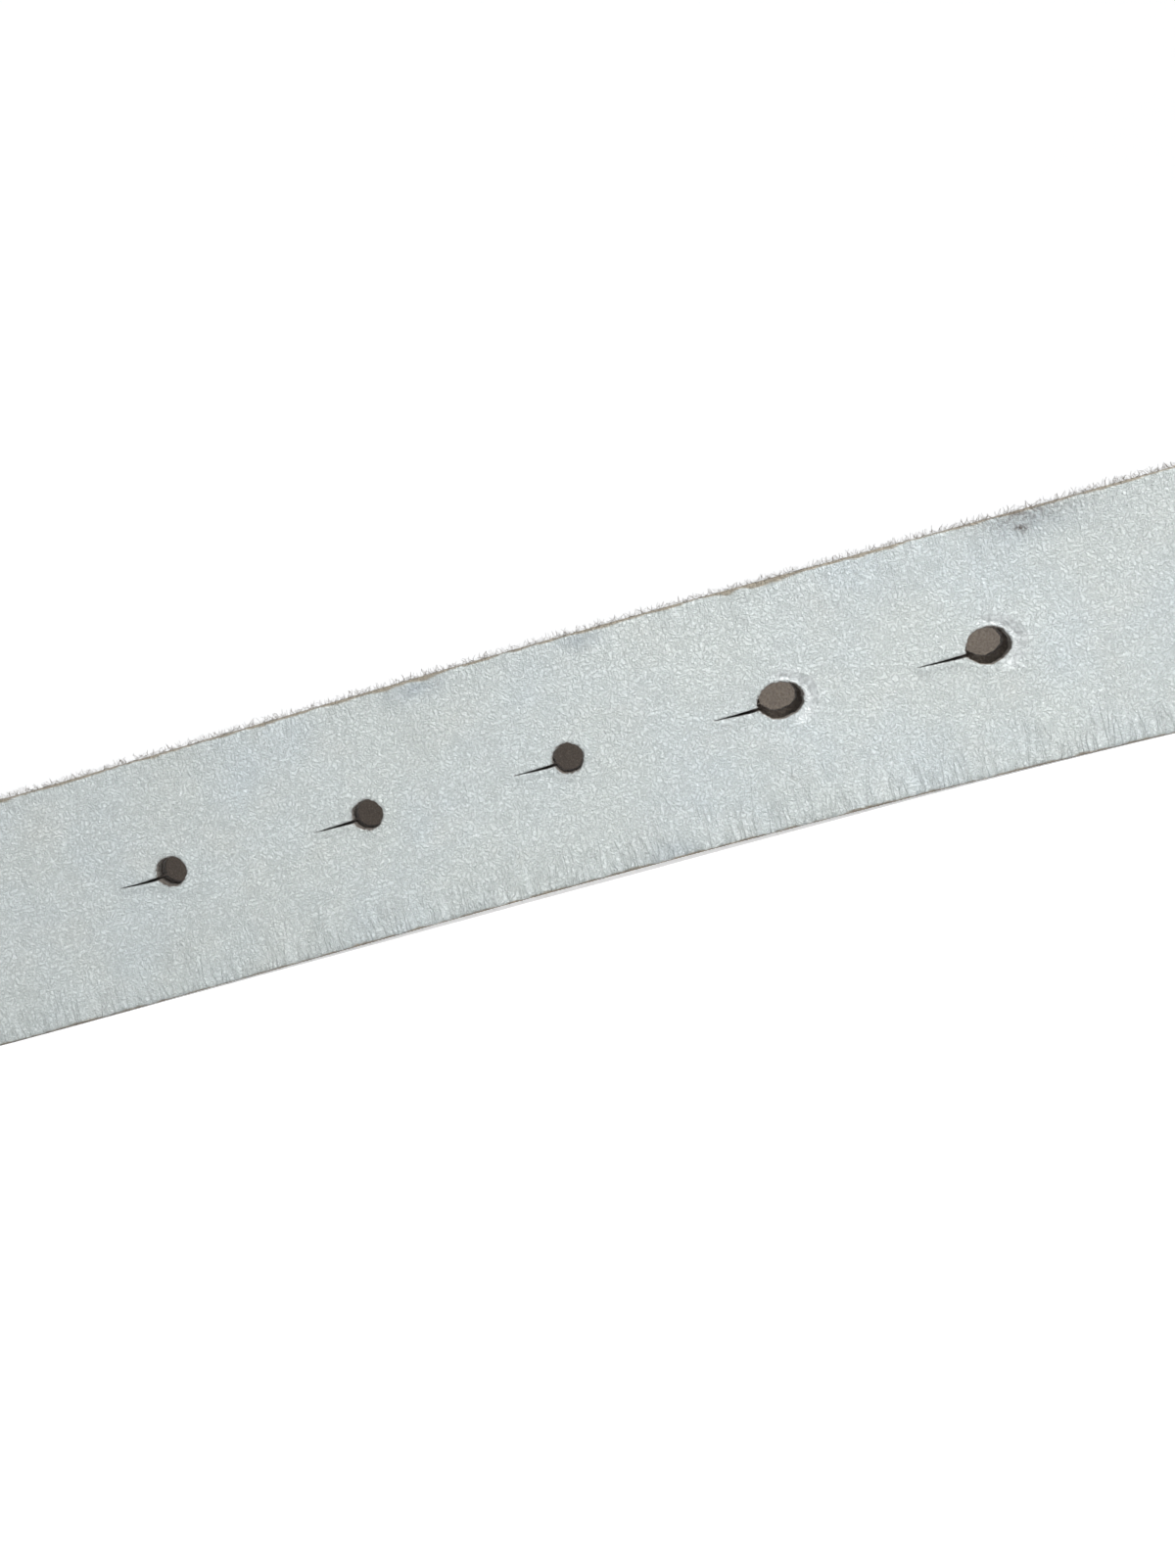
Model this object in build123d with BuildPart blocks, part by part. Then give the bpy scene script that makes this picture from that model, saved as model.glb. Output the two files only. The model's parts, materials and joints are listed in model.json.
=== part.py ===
from build123d import *

import os
from dataclasses import dataclass
from math import cos, radians, sin

# Leather strap belt, unbuckled and standing on its long edge in an open loop.
#
# The strap is a face leather glued to a lining leather.  Five keyholes lie along its straight front
# stretch, the pointed end runs to the right of them, and the rest of the strap goes round the loop to a
# plate buckle, whose round-headed stud fits the keyholes.
#
# The origin is on the strap's lower edge under the middle keyhole, in the middle of the face leather.
# +X runs along the front stretch towards the pointed end, +Y into the loop and +Z up.

# Strap
WIDTH = 35.0
FACE_THICKNESS = 2.0
LINING_THICKNESS = 1.4
STRAP_THICKNESS = FACE_THICKNESS + LINING_THICKNESS

# Keyholes: a round hole for the stud's neck and a slit that lets its head through
HOLE_COUNT = 5
HOLE_PITCH = 30.0
HOLE_DIAMETER = 4.5
SLIT_LENGTH = 5.8
SLIT_WIDTH = 0.6
SOLID_BEFORE_HOLES = 32.0
SOLID_AFTER_HOLES = 16.0

# The pointed end, which curls slightly out of the loop
TIP_COUNT = 2
TIP_STRETCH = 32.0
TIP_TURN = 7.0
TIP_CORNER = 13.0

# The loop: equal stretches of strap and how far each one turns, in degrees
LOOP_STRETCH = 68.0
LOOP_TURNS = [70, 68, 24, 8, 7, 7, 8, 16, 56, 74]
FLEX_GAP = 0.8

# Strap end at the buckle: it narrows, folds round the bar and is screwed to itself
END_LENGTH = 78.0
FOLD_RETURN = 48.0
FOLD_SLOPE = 14.0
NECK_LENGTH = 16.0
NECK_STEP = 5.0
BAR_DIAMETER = 4.0
BAR_PLAY = 0.1
CUT_MARGIN = 1.0

# Two-part screws through the fold
SCREW_PLACES = [22.0, 38.0]
SCREW_HEAD_DIAMETER = 9.0
SCREW_HEAD_THICKNESS = 1.1
POST_DIAMETER = 4.6
POST_PLAY = 0.1
POST_END_GAP = 0.4
SHANK_DIAMETER = 3.0
SHANK_LENGTH = 4.0
DRIVE_SLOT_WIDTH = 0.9
DRIVE_SLOT_DEPTH = 0.5

# Keeper loop and its staple
KEEPER_WIDTH = 12.0
KEEPER_THICKNESS = 1.4
KEEPER_PLAY = 0.3
KEEPER_ROOM = 6.0
KEEPER_PLACE = 16.0
KEEPER_CORNER = 1.6
STAPLE_WIRE = 0.9
STAPLE_SPAN = 9.0

# Plate buckle
PLATE_LENGTH = 46.0
PLATE_THICKNESS = 2.8
PLATE_CORNER = 7.0
PLATE_EDGE = 0.6
PLATE_RIM = 2.4
PLATE_RECESS = 0.6
PLATE_GAP = 0.6
PLATE_START = 1.0
LUG_THICKNESS = 3.0
LUG_RADIUS = 3.4
LUG_FOOT = 8.0
LUG_PLAY = 0.4

# Stud riveted to the back of the plate
STUD_FROM_END = 11.0
STUD_NECK_DIAMETER = 4.0
STUD_NECK_PLAY = 1.2
STUD_NECK_LENGTH = STRAP_THICKNESS + STUD_NECK_PLAY
STUD_HEAD_DIAMETER = 8.4
STUD_HEAD_THICKNESS = 2.8
STUD_HEAD_ROUND = 1.3
STUD_TENON_DIAMETER = 3.0
STUD_TENON_LENGTH = 1.6

# The keeper is the lowest thing under the strap's end, so the strap rises to it along the loop
LIFT = KEEPER_THICKNESS + KEEPER_PLAY


@dataclass
class Stretch:
    """A length of strap with one curvature: where its outer face starts, and which side is inside."""

    x: float
    y: float
    heading: float
    length: float
    turn: float
    inside: int
    base: float = 0.0

    def heading_at(self, along):
        """The direction of travel after a distance along the outer face, in radians."""
        return self.heading - radians(self.turn) * along / self.length

    def point(self, along, depth):
        """A point at a distance along the outer face and a depth into the strap."""
        heading = self.heading_at(along)
        if self.turn:
            bend = radians(self.turn) / self.length
            x = self.x + (sin(self.heading) - sin(heading)) / bend
            y = self.y + (cos(heading) - cos(self.heading)) / bend
        else:
            x = self.x + along * cos(heading)
            y = self.y + along * sin(heading)
        return (x + self.inside * depth * sin(heading), y - self.inside * depth * cos(heading))

    def side_plane(self, along, depth, height):
        """A plane parallel to the strap's face: x along the strap, y up, normal to the right."""
        x, y = self.point(along, depth)
        heading = self.heading_at(along)
        return Plane(
            origin=(x, y, self.base + height),
            x_dir=(cos(heading), sin(heading), 0),
            z_dir=(sin(heading), -cos(heading), 0),
        )

    def following(self, length, turn, base):
        """The stretch that carries on from this one's far end."""
        x, y = self.point(self.length, 0)
        return Stretch(x, y, self.heading_at(self.length), length, turn, self.inside, base)


def side_edge(stretch, start, end, depth):
    """One long edge of a layer's outline: a line on a straight stretch, an arc on a bent one."""
    first = stretch.point(start, depth)
    last = stretch.point(end, depth)
    if stretch.turn:
        return ThreePointArc(first, stretch.point((start + end) / 2, depth), last)
    return Line(first, last)


def layer_piece(stretch, start, end, near, far):
    """One layer of leather along a stretch, between two depths, as wide as the strap."""
    with BuildPart() as piece:
        with BuildSketch(Plane.XY.offset(stretch.base)):
            with BuildLine():
                outer = side_edge(stretch, start, end, near)
                inner = side_edge(stretch, end, start, far)
                Line(outer @ 1, inner @ 0)
                Line(inner @ 1, outer @ 0)
            make_face()
        extrude(amount=WIDTH)
    return piece.part


def save(part, name):
    """Label a finished piece and write it."""
    part.label = name
    export_step(part, f"parts/{name}.step")


os.makedirs("parts", exist_ok=True)

# ---------------------------------------------------------------- layout of the strap
hole_row = (HOLE_COUNT - 1) * HOLE_PITCH
front_length = SOLID_AFTER_HOLES + hole_row + SOLID_BEFORE_HOLES
front_right = hole_row / 2 + SOLID_AFTER_HOLES
outer_y = -FACE_THICKNESS / 2
layers = {
    "face_leather": (0.0, FACE_THICKNESS),
    "lining_leather": (FACE_THICKNESS, STRAP_THICKNESS),
}

front = Stretch(front_right, outer_y, radians(180), front_length, 0.0, 1)

tips = [Stretch(front_right, outer_y, 0.0, TIP_STRETCH, TIP_TURN, -1)]
while len(tips) < TIP_COUNT:
    tips.append(tips[-1].following(TIP_STRETCH, TIP_TURN, 0.0))

loop = [front.following(LOOP_STRETCH, LOOP_TURNS[0], LIFT / (len(LOOP_TURNS) + 1))]
for turn in LOOP_TURNS[1:]:
    loop.append(loop[-1].following(LOOP_STRETCH, turn, LIFT * (len(loop) + 1) / (len(LOOP_TURNS) + 1)))
end = loop[-1].following(END_LENGTH, 0.0, LIFT)

# ---------------------------------------------------------------- front stretch with the keyholes
for layer, (near, far) in layers.items():
    plain_stretch = layer_piece(front, FLEX_GAP / 2, front_length - FLEX_GAP / 2, near, far)
    with BuildPart() as hole_stretch:
        add(plain_stretch)
        middle_hole = front.side_plane(SOLID_AFTER_HOLES + hole_row / 2, near, WIDTH / 2)
        with BuildSketch(middle_hole):
            with GridLocations(HOLE_PITCH, 0, HOLE_COUNT, 1):
                Circle(HOLE_DIAMETER / 2)
                with Locations((HOLE_DIAMETER / 2 + SLIT_LENGTH / 2, 0)):
                    Rectangle(SLIT_LENGTH + HOLE_DIAMETER / 2, SLIT_WIDTH)
        extrude(amount=far - near, mode=Mode.SUBTRACT)
    save(hole_stretch.part, f"{layer}_holes")

# ---------------------------------------------------------------- pointed end
for number, tip in enumerate(tips, start=1):
    last_along = TIP_STRETCH if number == TIP_COUNT else TIP_STRETCH - FLEX_GAP / 2
    for layer, (near, far) in layers.items():
        square_end = layer_piece(tip, FLEX_GAP / 2, last_along, near, far)
        with BuildPart() as tip_piece:
            add(square_end)
            if number == TIP_COUNT:
                end_face = tip_piece.faces().sort_by(Axis.X)[-1]
                corners = end_face.edges().sort_by(Axis.Z)
                fillet([corners[0], corners[-1]], radius=TIP_CORNER)
        save(tip_piece.part, f"{layer}_tip_{number}")

# ---------------------------------------------------------------- stretches round the loop
for number, stretch in enumerate(loop, start=1):
    for layer, (near, far) in layers.items():
        loop_piece = layer_piece(stretch, FLEX_GAP / 2, LOOP_STRETCH - FLEX_GAP / 2, near, far)
        save(loop_piece, f"{layer}_{number}")

# ---------------------------------------------------------------- strap end, folded round the bar
wrap_inner = BAR_DIAMETER / 2 + BAR_PLAY
wrap_outer = wrap_inner + FACE_THICKNESS
bar_depth = wrap_outer
fold_depth = STRAP_THICKNESS + FACE_THICKNESS
end_plan = Plane(
    origin=(end.x, end.y, end.base),
    x_dir=(cos(end.heading), sin(end.heading), 0),
    z_dir=(0, 0, 1),
)
neck_middle = END_LENGTH - NECK_LENGTH + (NECK_LENGTH + wrap_outer) / 2
screw_centres = [(END_LENGTH - place, 0) for place in SCREW_PLACES]
end_face_plane = end.side_plane(0, 0, WIDTH / 2)

with BuildPart() as face_leather_fold:
    with BuildSketch(end_plan):
        with BuildLine():
            Line((FLEX_GAP / 2, 0), (END_LENGTH, 0))
            ThreePointArc(
                (END_LENGTH, 0),
                (END_LENGTH + wrap_outer, -bar_depth),
                (END_LENGTH, -bar_depth - wrap_outer),
            )
            Polyline(
                (END_LENGTH, -bar_depth - wrap_outer),
                (END_LENGTH - FOLD_SLOPE, -fold_depth),
                (END_LENGTH - FOLD_RETURN, -fold_depth),
                (END_LENGTH - FOLD_RETURN, -STRAP_THICKNESS),
                (END_LENGTH - FOLD_SLOPE, -STRAP_THICKNESS),
                (END_LENGTH, -bar_depth - wrap_inner),
            )
            ThreePointArc(
                (END_LENGTH, -bar_depth - wrap_inner),
                (END_LENGTH + wrap_inner, -bar_depth),
                (END_LENGTH, -FACE_THICKNESS),
            )
            Polyline((END_LENGTH, -FACE_THICKNESS), (FLEX_GAP / 2, -FACE_THICKNESS), (FLEX_GAP / 2, 0))
        make_face()
    extrude(amount=WIDTH)
    with BuildSketch(end_face_plane.offset(-CUT_MARGIN)):
        with Locations(
            (neck_middle, WIDTH / 2 - NECK_STEP / 2),
            (neck_middle, NECK_STEP / 2 - WIDTH / 2),
        ):
            Rectangle(NECK_LENGTH + wrap_outer, NECK_STEP)
    extrude(amount=bar_depth + wrap_outer + 2 * CUT_MARGIN, mode=Mode.SUBTRACT)
    with BuildSketch(end_face_plane):
        with Locations(*screw_centres):
            Circle(POST_DIAMETER / 2 + POST_PLAY)
    extrude(amount=fold_depth, mode=Mode.SUBTRACT)
save(face_leather_fold.part, "face_leather_fold")

plain_lining = layer_piece(end, FLEX_GAP / 2, END_LENGTH - NECK_LENGTH, FACE_THICKNESS, STRAP_THICKNESS)
with BuildPart() as lining_leather_end:
    add(plain_lining)
    with BuildSketch(end_face_plane.offset(FACE_THICKNESS)):
        with Locations(*screw_centres):
            Circle(POST_DIAMETER / 2 + POST_PLAY)
    extrude(amount=LINING_THICKNESS, mode=Mode.SUBTRACT)
save(lining_leather_end.part, "lining_leather_end")

# ---------------------------------------------------------------- two-part screws
with BuildPart() as screw_posts:
    with BuildSketch(end_face_plane.offset(fold_depth)):
        with Locations(*screw_centres):
            Circle(SCREW_HEAD_DIAMETER / 2)
    extrude(amount=SCREW_HEAD_THICKNESS)
    with BuildSketch(end_face_plane.offset(POST_END_GAP)):
        with Locations(*screw_centres):
            Circle(POST_DIAMETER / 2)
    extrude(amount=fold_depth - POST_END_GAP)
    with BuildSketch(end_face_plane):
        with Locations(*screw_centres):
            Circle(SHANK_DIAMETER / 2)
    extrude(amount=SHANK_LENGTH, mode=Mode.SUBTRACT)
save(screw_posts.part, "screw_posts")

with BuildPart() as screw_heads:
    with BuildSketch(end_face_plane.offset(-SCREW_HEAD_THICKNESS)):
        with Locations(*screw_centres):
            Circle(SCREW_HEAD_DIAMETER / 2)
    extrude(amount=SCREW_HEAD_THICKNESS)
    with BuildSketch(end_face_plane):
        with Locations(*screw_centres):
            Circle(SHANK_DIAMETER / 2)
    extrude(amount=SHANK_LENGTH)
    with BuildSketch(end_face_plane.offset(-SCREW_HEAD_THICKNESS)):
        with Locations(*screw_centres):
            Rectangle(DRIVE_SLOT_WIDTH, SCREW_HEAD_DIAMETER)
    extrude(amount=DRIVE_SLOT_DEPTH, mode=Mode.SUBTRACT)
save(screw_heads.part, "screw_heads")

# ---------------------------------------------------------------- keeper loop
keeper_depth = STRAP_THICKNESS + KEEPER_ROOM + KEEPER_PLAY
keeper_height = WIDTH + 2 * KEEPER_PLAY
keeper_x, keeper_y = end.point(KEEPER_PLACE - KEEPER_WIDTH / 2, keeper_depth / 2 - KEEPER_PLAY)
keeper_section = Plane(
    origin=(keeper_x, keeper_y, end.base + WIDTH / 2),
    x_dir=end_face_plane.z_dir,
    z_dir=end_face_plane.x_dir,
)
keeper_back = end.side_plane(KEEPER_PLACE, keeper_depth - KEEPER_PLAY, WIDTH / 2)
staple_legs = [(0, STAPLE_SPAN / 2), (0, -STAPLE_SPAN / 2)]

with BuildPart() as keeper_loop:
    with BuildSketch(keeper_section):
        RectangleRounded(
            keeper_depth + 2 * KEEPER_THICKNESS,
            keeper_height + 2 * KEEPER_THICKNESS,
            KEEPER_CORNER,
        )
        Rectangle(keeper_depth, keeper_height, mode=Mode.SUBTRACT)
    extrude(amount=KEEPER_WIDTH)
    with BuildSketch(keeper_back):
        with Locations(*staple_legs):
            Rectangle(STAPLE_WIRE, STAPLE_WIRE)
    extrude(amount=KEEPER_THICKNESS, mode=Mode.SUBTRACT)
save(keeper_loop.part, "keeper_loop")

with BuildPart() as keeper_staple:
    with BuildSketch(keeper_back):
        with Locations(*staple_legs):
            Rectangle(STAPLE_WIRE, STAPLE_WIRE)
    extrude(amount=KEEPER_THICKNESS)
    with BuildSketch(keeper_back.offset(KEEPER_THICKNESS)):
        Rectangle(STAPLE_WIRE, STAPLE_SPAN + STAPLE_WIRE)
    extrude(amount=STAPLE_WIRE)
save(keeper_staple.part, "keeper_staple")

# ---------------------------------------------------------------- plate buckle
plate_height = WIDTH + 2 * LIFT
neck_width = WIDTH - 2 * NECK_STEP
plate_plane = end.side_plane(END_LENGTH, -PLATE_GAP - PLATE_THICKNESS, WIDTH / 2)
plate_middle = (PLATE_START + PLATE_LENGTH / 2, 0)
stud_centre = (PLATE_START + PLATE_LENGTH - STUD_FROM_END, 0)
bar_plane = Plane(
    origin=(*end.point(END_LENGTH, bar_depth), end.base + WIDTH / 2),
    x_dir=end_face_plane.x_dir,
    z_dir=(0, 0, 1),
)
lug_inside = neck_width / 2 + LUG_PLAY
lug_outside = lug_inside + LUG_THICKNESS
stud_plane = plate_plane.offset(PLATE_THICKNESS)

with BuildPart() as buckle_plate:
    with BuildSketch(plate_plane):
        with Locations(plate_middle):
            RectangleRounded(PLATE_LENGTH, plate_height, PLATE_CORNER)
    extrude(amount=PLATE_THICKNESS)
    sides = buckle_plate.faces().sort_by(SortBy.AREA)[-2:]
    chamfer(sides.edges(), length=PLATE_EDGE)
    with BuildSketch(plate_plane):
        with Locations(plate_middle):
            RectangleRounded(
                PLATE_LENGTH - 2 * PLATE_RIM,
                plate_height - 2 * PLATE_RIM,
                PLATE_CORNER - PLATE_RIM,
            )
    extrude(amount=PLATE_RECESS, mode=Mode.SUBTRACT)
    for lug_base in (lug_inside, -lug_outside):
        with BuildSketch(bar_plane.offset(lug_base)):
            Circle(LUG_RADIUS)
            with Locations((PLATE_START + LUG_FOOT / 2, bar_depth + PLATE_GAP)):
                Rectangle(LUG_FOOT, 2 * PLATE_GAP)
            make_hull()
            Circle(BAR_DIAMETER / 2, mode=Mode.SUBTRACT)
        extrude(amount=LUG_THICKNESS)
    with BuildSketch(stud_plane):
        with Locations(stud_centre):
            Circle(STUD_TENON_DIAMETER / 2)
    extrude(amount=-STUD_TENON_LENGTH, mode=Mode.SUBTRACT)
save(buckle_plate.part, "buckle_plate")

with BuildPart() as hinge_bar:
    with BuildSketch(bar_plane.offset(-lug_outside)):
        Circle(BAR_DIAMETER / 2)
    extrude(amount=2 * lug_outside)
save(hinge_bar.part, "hinge_bar")

with BuildPart() as hook_stud:
    with BuildSketch(stud_plane.offset(-STUD_TENON_LENGTH)):
        with Locations(stud_centre):
            Circle(STUD_TENON_DIAMETER / 2)
    extrude(amount=STUD_TENON_LENGTH)
    with BuildSketch(stud_plane):
        with Locations(stud_centre):
            Circle(STUD_NECK_DIAMETER / 2)
    extrude(amount=STUD_NECK_LENGTH)
    with BuildSketch(stud_plane.offset(STUD_NECK_LENGTH)):
        with Locations(stud_centre):
            Circle(STUD_HEAD_DIAMETER / 2)
    extrude(amount=STUD_HEAD_THICKNESS)
    head_edges = hook_stud.edges().filter_by(GeomType.CIRCLE).group_by(SortBy.RADIUS)[-1]
    fillet(head_edges, radius=STUD_HEAD_ROUND)
save(hook_stud.part, "hook_stud")
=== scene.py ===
import json
import logging
import math
from dataclasses import dataclass
from enum import Enum

import bmesh
import bpy
import numpy as np
from mathutils import Matrix, Vector


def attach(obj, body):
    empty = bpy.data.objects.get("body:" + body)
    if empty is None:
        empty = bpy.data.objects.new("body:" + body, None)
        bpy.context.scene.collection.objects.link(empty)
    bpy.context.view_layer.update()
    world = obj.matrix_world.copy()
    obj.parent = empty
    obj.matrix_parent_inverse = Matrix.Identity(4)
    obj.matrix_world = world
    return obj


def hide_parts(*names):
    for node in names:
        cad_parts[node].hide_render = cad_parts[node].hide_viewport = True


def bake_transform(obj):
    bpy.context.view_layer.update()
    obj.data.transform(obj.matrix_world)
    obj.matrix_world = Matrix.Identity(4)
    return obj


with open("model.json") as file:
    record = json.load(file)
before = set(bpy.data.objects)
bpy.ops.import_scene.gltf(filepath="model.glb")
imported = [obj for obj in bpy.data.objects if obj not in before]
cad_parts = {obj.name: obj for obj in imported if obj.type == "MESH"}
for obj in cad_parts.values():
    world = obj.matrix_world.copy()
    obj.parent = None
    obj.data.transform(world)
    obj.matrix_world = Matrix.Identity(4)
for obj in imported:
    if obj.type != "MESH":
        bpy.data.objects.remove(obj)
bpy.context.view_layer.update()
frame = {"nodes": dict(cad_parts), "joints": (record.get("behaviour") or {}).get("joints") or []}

# A coated leather strap belt standing on its long edge in an open loop.
# Lengths in the code are millimetres until a mesh is made; distance along the strap is counted from the
# middle keyhole, positive towards the loop, and height across it from the lower edge.

MM = 0.001
log = logging.getLogger("belt")


# ---------------------------------------------------------------- sizes
@dataclass(frozen=True)
class StrapSizes:
    """The strap's own measures, in millimetres."""

    width: float = 35.0
    face: float = 2.0
    lining: float = 1.4
    hole_pitch: float = 30.0
    front_left: float = 92.0
    front_right: float = 76.0
    stretch: float = 68.0
    stretches: int = 10
    tip_stretch: float = 32.0
    tip_corner: float = 13.0
    end_length: float = 78.0
    fold_return: float = 48.0
    fold_slope: float = 14.0
    fold_radius: float = 4.1
    neck_length: float = 16.0
    neck_step: float = 5.0
    lift: float = 1.7
    arch: float = 0.6

    @property
    def thickness(self) -> float:
        """Both leathers together."""
        return self.face + self.lining

    @property
    def end_start(self) -> float:
        """Where the strap's end begins, along the strap."""
        return self.front_left + self.stretches * self.stretch

    @property
    def bar_place(self) -> float:
        """Where the strap meets the hinge bar."""
        return self.end_start + self.end_length

    @property
    def tip_end(self) -> float:
        """The pointed end, along the strap."""
        return -self.front_right - 2 * self.tip_stretch

    @property
    def fold_end(self) -> float:
        """The end of the leather folded round the bar, along its coated side."""
        slope = math.hypot(self.fold_slope, 2 * self.fold_radius - self.thickness - self.face)
        return self.bar_place + math.pi * self.fold_radius + slope + self.fold_return - self.fold_slope


STRAP = StrapSizes()


class Side(Enum):
    """One of the strap's two long edges."""

    TOP = 1
    BOTTOM = -1


# ---------------------------------------------------------------- random relief
def ripple(x: np.ndarray, y: np.ndarray, size: float, seed: int) -> np.ndarray:
    """Smooth random relief whose bumps are about one size across.

    Args:
        x: First coordinate of each point.
        y: Second coordinate of each point.
        size: Distance between bumps.
        seed: Picks the pattern.

    Returns:
        A height from -1 to 1 for each point.
    """
    u, v = np.broadcast_arrays(np.asarray(x, float) / size, np.asarray(y, float) / size)
    i, j = np.floor(u), np.floor(v)
    du, dv = u - i, v - j
    du = du * du * (3 - 2 * du)
    dv = dv * dv * (3 - 2 * dv)

    def corner(a: int, b: int) -> np.ndarray:
        """The fixed height at one corner of each cell."""
        value = np.sin((i + a) * 127.1 + (j + b) * 311.7 + seed * 74.7) * 43758.5453
        return 2 * (value - np.floor(value)) - 1

    low = corner(0, 0) * (1 - du) + corner(1, 0) * du
    high = corner(0, 1) * (1 - du) + corner(1, 1) * du
    return low * (1 - dv) + high * dv


def fold_lines(x: np.ndarray, y: np.ndarray, size: float, seed: int, sharp: float) -> np.ndarray:
    """Thin winding lines about one size apart: 1 on a line, falling to 0 the faster the sharper."""
    return np.clip(1 - sharp * np.abs(ripple(x, y, size, seed)), 0, 1)


def ease(value: np.ndarray, start: float, end: float) -> np.ndarray:
    """Smooth step from 0 at start to 1 at end."""
    share = np.clip((value - start) / (end - start), 0, 1)
    return share * share * (3 - 2 * share)


def spot(s: np.ndarray, t: np.ndarray, place: tuple, reach: tuple) -> np.ndarray:
    """A soft-edged mark: its centre and its half sizes, in millimetres."""
    return np.exp(-(((s - place[0]) / reach[0]) ** 2) - ((t - place[1]) / reach[1]) ** 2)


# ---------------------------------------------------------------- the strap's path
class StrapPath:
    """The outer side of the strap seen from above, as a table by distance along the strap."""

    STEP = 0.25
    CURL_START = -38.0
    CURL_END = -86.0
    CURL_RADIUS = 300.0
    CURL_EASED = -118.0
    SOFT = 12.0
    FOLD_SOFT = 1.5

    def __init__(self, joints: list) -> None:
        """Reads the hinge lines and lays the path through them.

        Args:
            joints: The frame's joints.
        """
        marks = {joint["name"]: joint["pos_m"] for joint in joints if "pos_m" in joint}
        stations = [
            np.array(marks[f"loop_flex_{number + 1}"][:2]) / MM for number in range(STRAP.stretches + 1)
        ]
        headings = [math.pi]
        for here, there in zip(stations, stations[1:]):
            chord = math.atan2(*(there - here)[::-1])
            turn = (2 * chord - 2 * headings[-1] + math.pi) % math.tau - math.pi
            if abs(turn) > math.pi * 0.9:
                turn -= math.copysign(math.tau, turn)
            headings.append(headings[-1] + turn)
        marks_along = STRAP.front_left + STRAP.stretch * np.arange(len(stations))
        self.s = np.arange(STRAP.tip_end - 30, STRAP.bar_place + 30, self.STEP)
        heading = np.interp(self.s, marks_along, headings)
        curl = np.clip(self.CURL_START - self.s, 0, self.CURL_START - self.CURL_END) / self.CURL_RADIUS
        relax = 1 - 0.5 * np.clip((self.CURL_END - self.s) / (self.CURL_END - self.CURL_EASED), 0, 1)
        heading = heading - curl * relax
        x = np.cumsum(np.cos(heading)) * self.STEP
        y = np.cumsum(np.sin(heading)) * self.STEP
        start = np.array([STRAP.front_left - 1])
        x += stations[0][0] + 1 - np.interp(start, self.s, x)
        y += stations[0][1] - np.interp(start, self.s, y)
        x, y = self.softened(x, self.SOFT), self.softened(y, self.SOFT)
        run = np.hypot(np.gradient(x), np.gradient(y))
        self.normal = np.stack([np.gradient(y) / run, -np.gradient(x) / run], 1)
        self.point = np.stack([x, y], 1)
        self.add_fold(headings[-1])

    def softened(self, values: np.ndarray, reach: float) -> np.ndarray:
        """Values averaged over a bell-shaped window, so no bend has a hard start.

        Args:
            values: One value for each step of the path.
            reach: Half the window's width.

        Returns:
            The averaged values.
        """
        window = np.hanning(int(2 * reach / self.STEP) + 1)
        pad = len(window) // 2
        first = values[0] + (values[1] - values[0]) * np.arange(-pad, 0)
        last = values[-1] + (values[-1] - values[-2]) * np.arange(1, pad + 1)
        whole = np.concatenate([first, values, last])
        return np.convolve(whole, window / window.sum(), mode="valid")

    def add_fold(self, heading: float) -> None:
        """Carries the path round the hinge bar and back along the strap.

        Args:
            heading: The direction of the strap's end, in radians.
        """
        along = np.array([math.cos(heading), math.sin(heading)])
        inward = np.array([along[1], -along[0]])
        kept = self.s < STRAP.bar_place
        origin = np.array(
            [np.interp(STRAP.bar_place, self.s, self.point[:, axis]) for axis in range(2)]
        )
        s = np.arange(self.s[kept][-1] + self.STEP, STRAP.fold_end + 5, self.STEP)
        past = s - STRAP.bar_place
        arc = math.pi * STRAP.fold_radius
        drop = 2 * STRAP.fold_radius - STRAP.thickness - STRAP.face
        slope = math.hypot(STRAP.fold_slope, drop)
        turn = np.clip(past / STRAP.fold_radius, 0, math.pi)
        down = np.clip((past - arc) / slope, 0, 1)
        back = np.maximum(past - arc - slope, 0)
        forward = STRAP.fold_radius * np.sin(turn) - STRAP.fold_slope * down - back
        depth = STRAP.fold_radius * (1 - np.cos(turn)) - drop * down
        tilt = math.atan2(drop, STRAP.fold_slope) * ((down > 0) & (down < 1))
        face_in = np.cos(turn)[:, None] * inward - np.sin(turn)[:, None] * along
        tilted = np.cos(tilt)[:, None] * face_in + np.sin(tilt)[:, None] * along
        points = origin + forward[:, None] * along + depth[:, None] * inward
        self.s = np.concatenate([self.s[kept], s])
        self.point = np.concatenate([self.point[kept], points])
        self.normal = np.concatenate([self.normal[kept], tilted])
        late = self.s > STRAP.bar_place - 20
        for table in (self.point, self.normal):
            for axis in range(2):
                table[late, axis] = self.softened(table[:, axis], self.FOLD_SOFT)[late]

    def base(self, s: np.ndarray) -> np.ndarray:
        """Height of the strap's lower edge above the floor.

        Args:
            s: Distances along the strap.

        Returns:
            The height at each distance.
        """
        run = STRAP.end_start - STRAP.front_left
        rise = STRAP.lift * np.clip((s - STRAP.front_left) / run, 0, 1)
        near = np.clip(np.abs(s) / STRAP.front_left, 0, 1)
        return rise + STRAP.arch * (0.5 + 0.5 * np.cos(math.pi * near))

    def place(self, s: np.ndarray, t: np.ndarray, depth: np.ndarray) -> np.ndarray:
        """Points in the shared frame, in metres.

        Args:
            s: Distance along the strap.
            t: Height above the strap's lower edge.
            depth: Distance inwards from the outer side.

        Returns:
            An array of points.
        """
        s, t, depth = np.broadcast_arrays(s, t, depth)
        x, y = (
            np.interp(s, self.s, self.point[:, axis]) + depth * np.interp(s, self.s, self.normal[:, axis])
            for axis in range(2)
        )
        return np.stack([x, y, t + self.base(s)], -1) * MM

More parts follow.
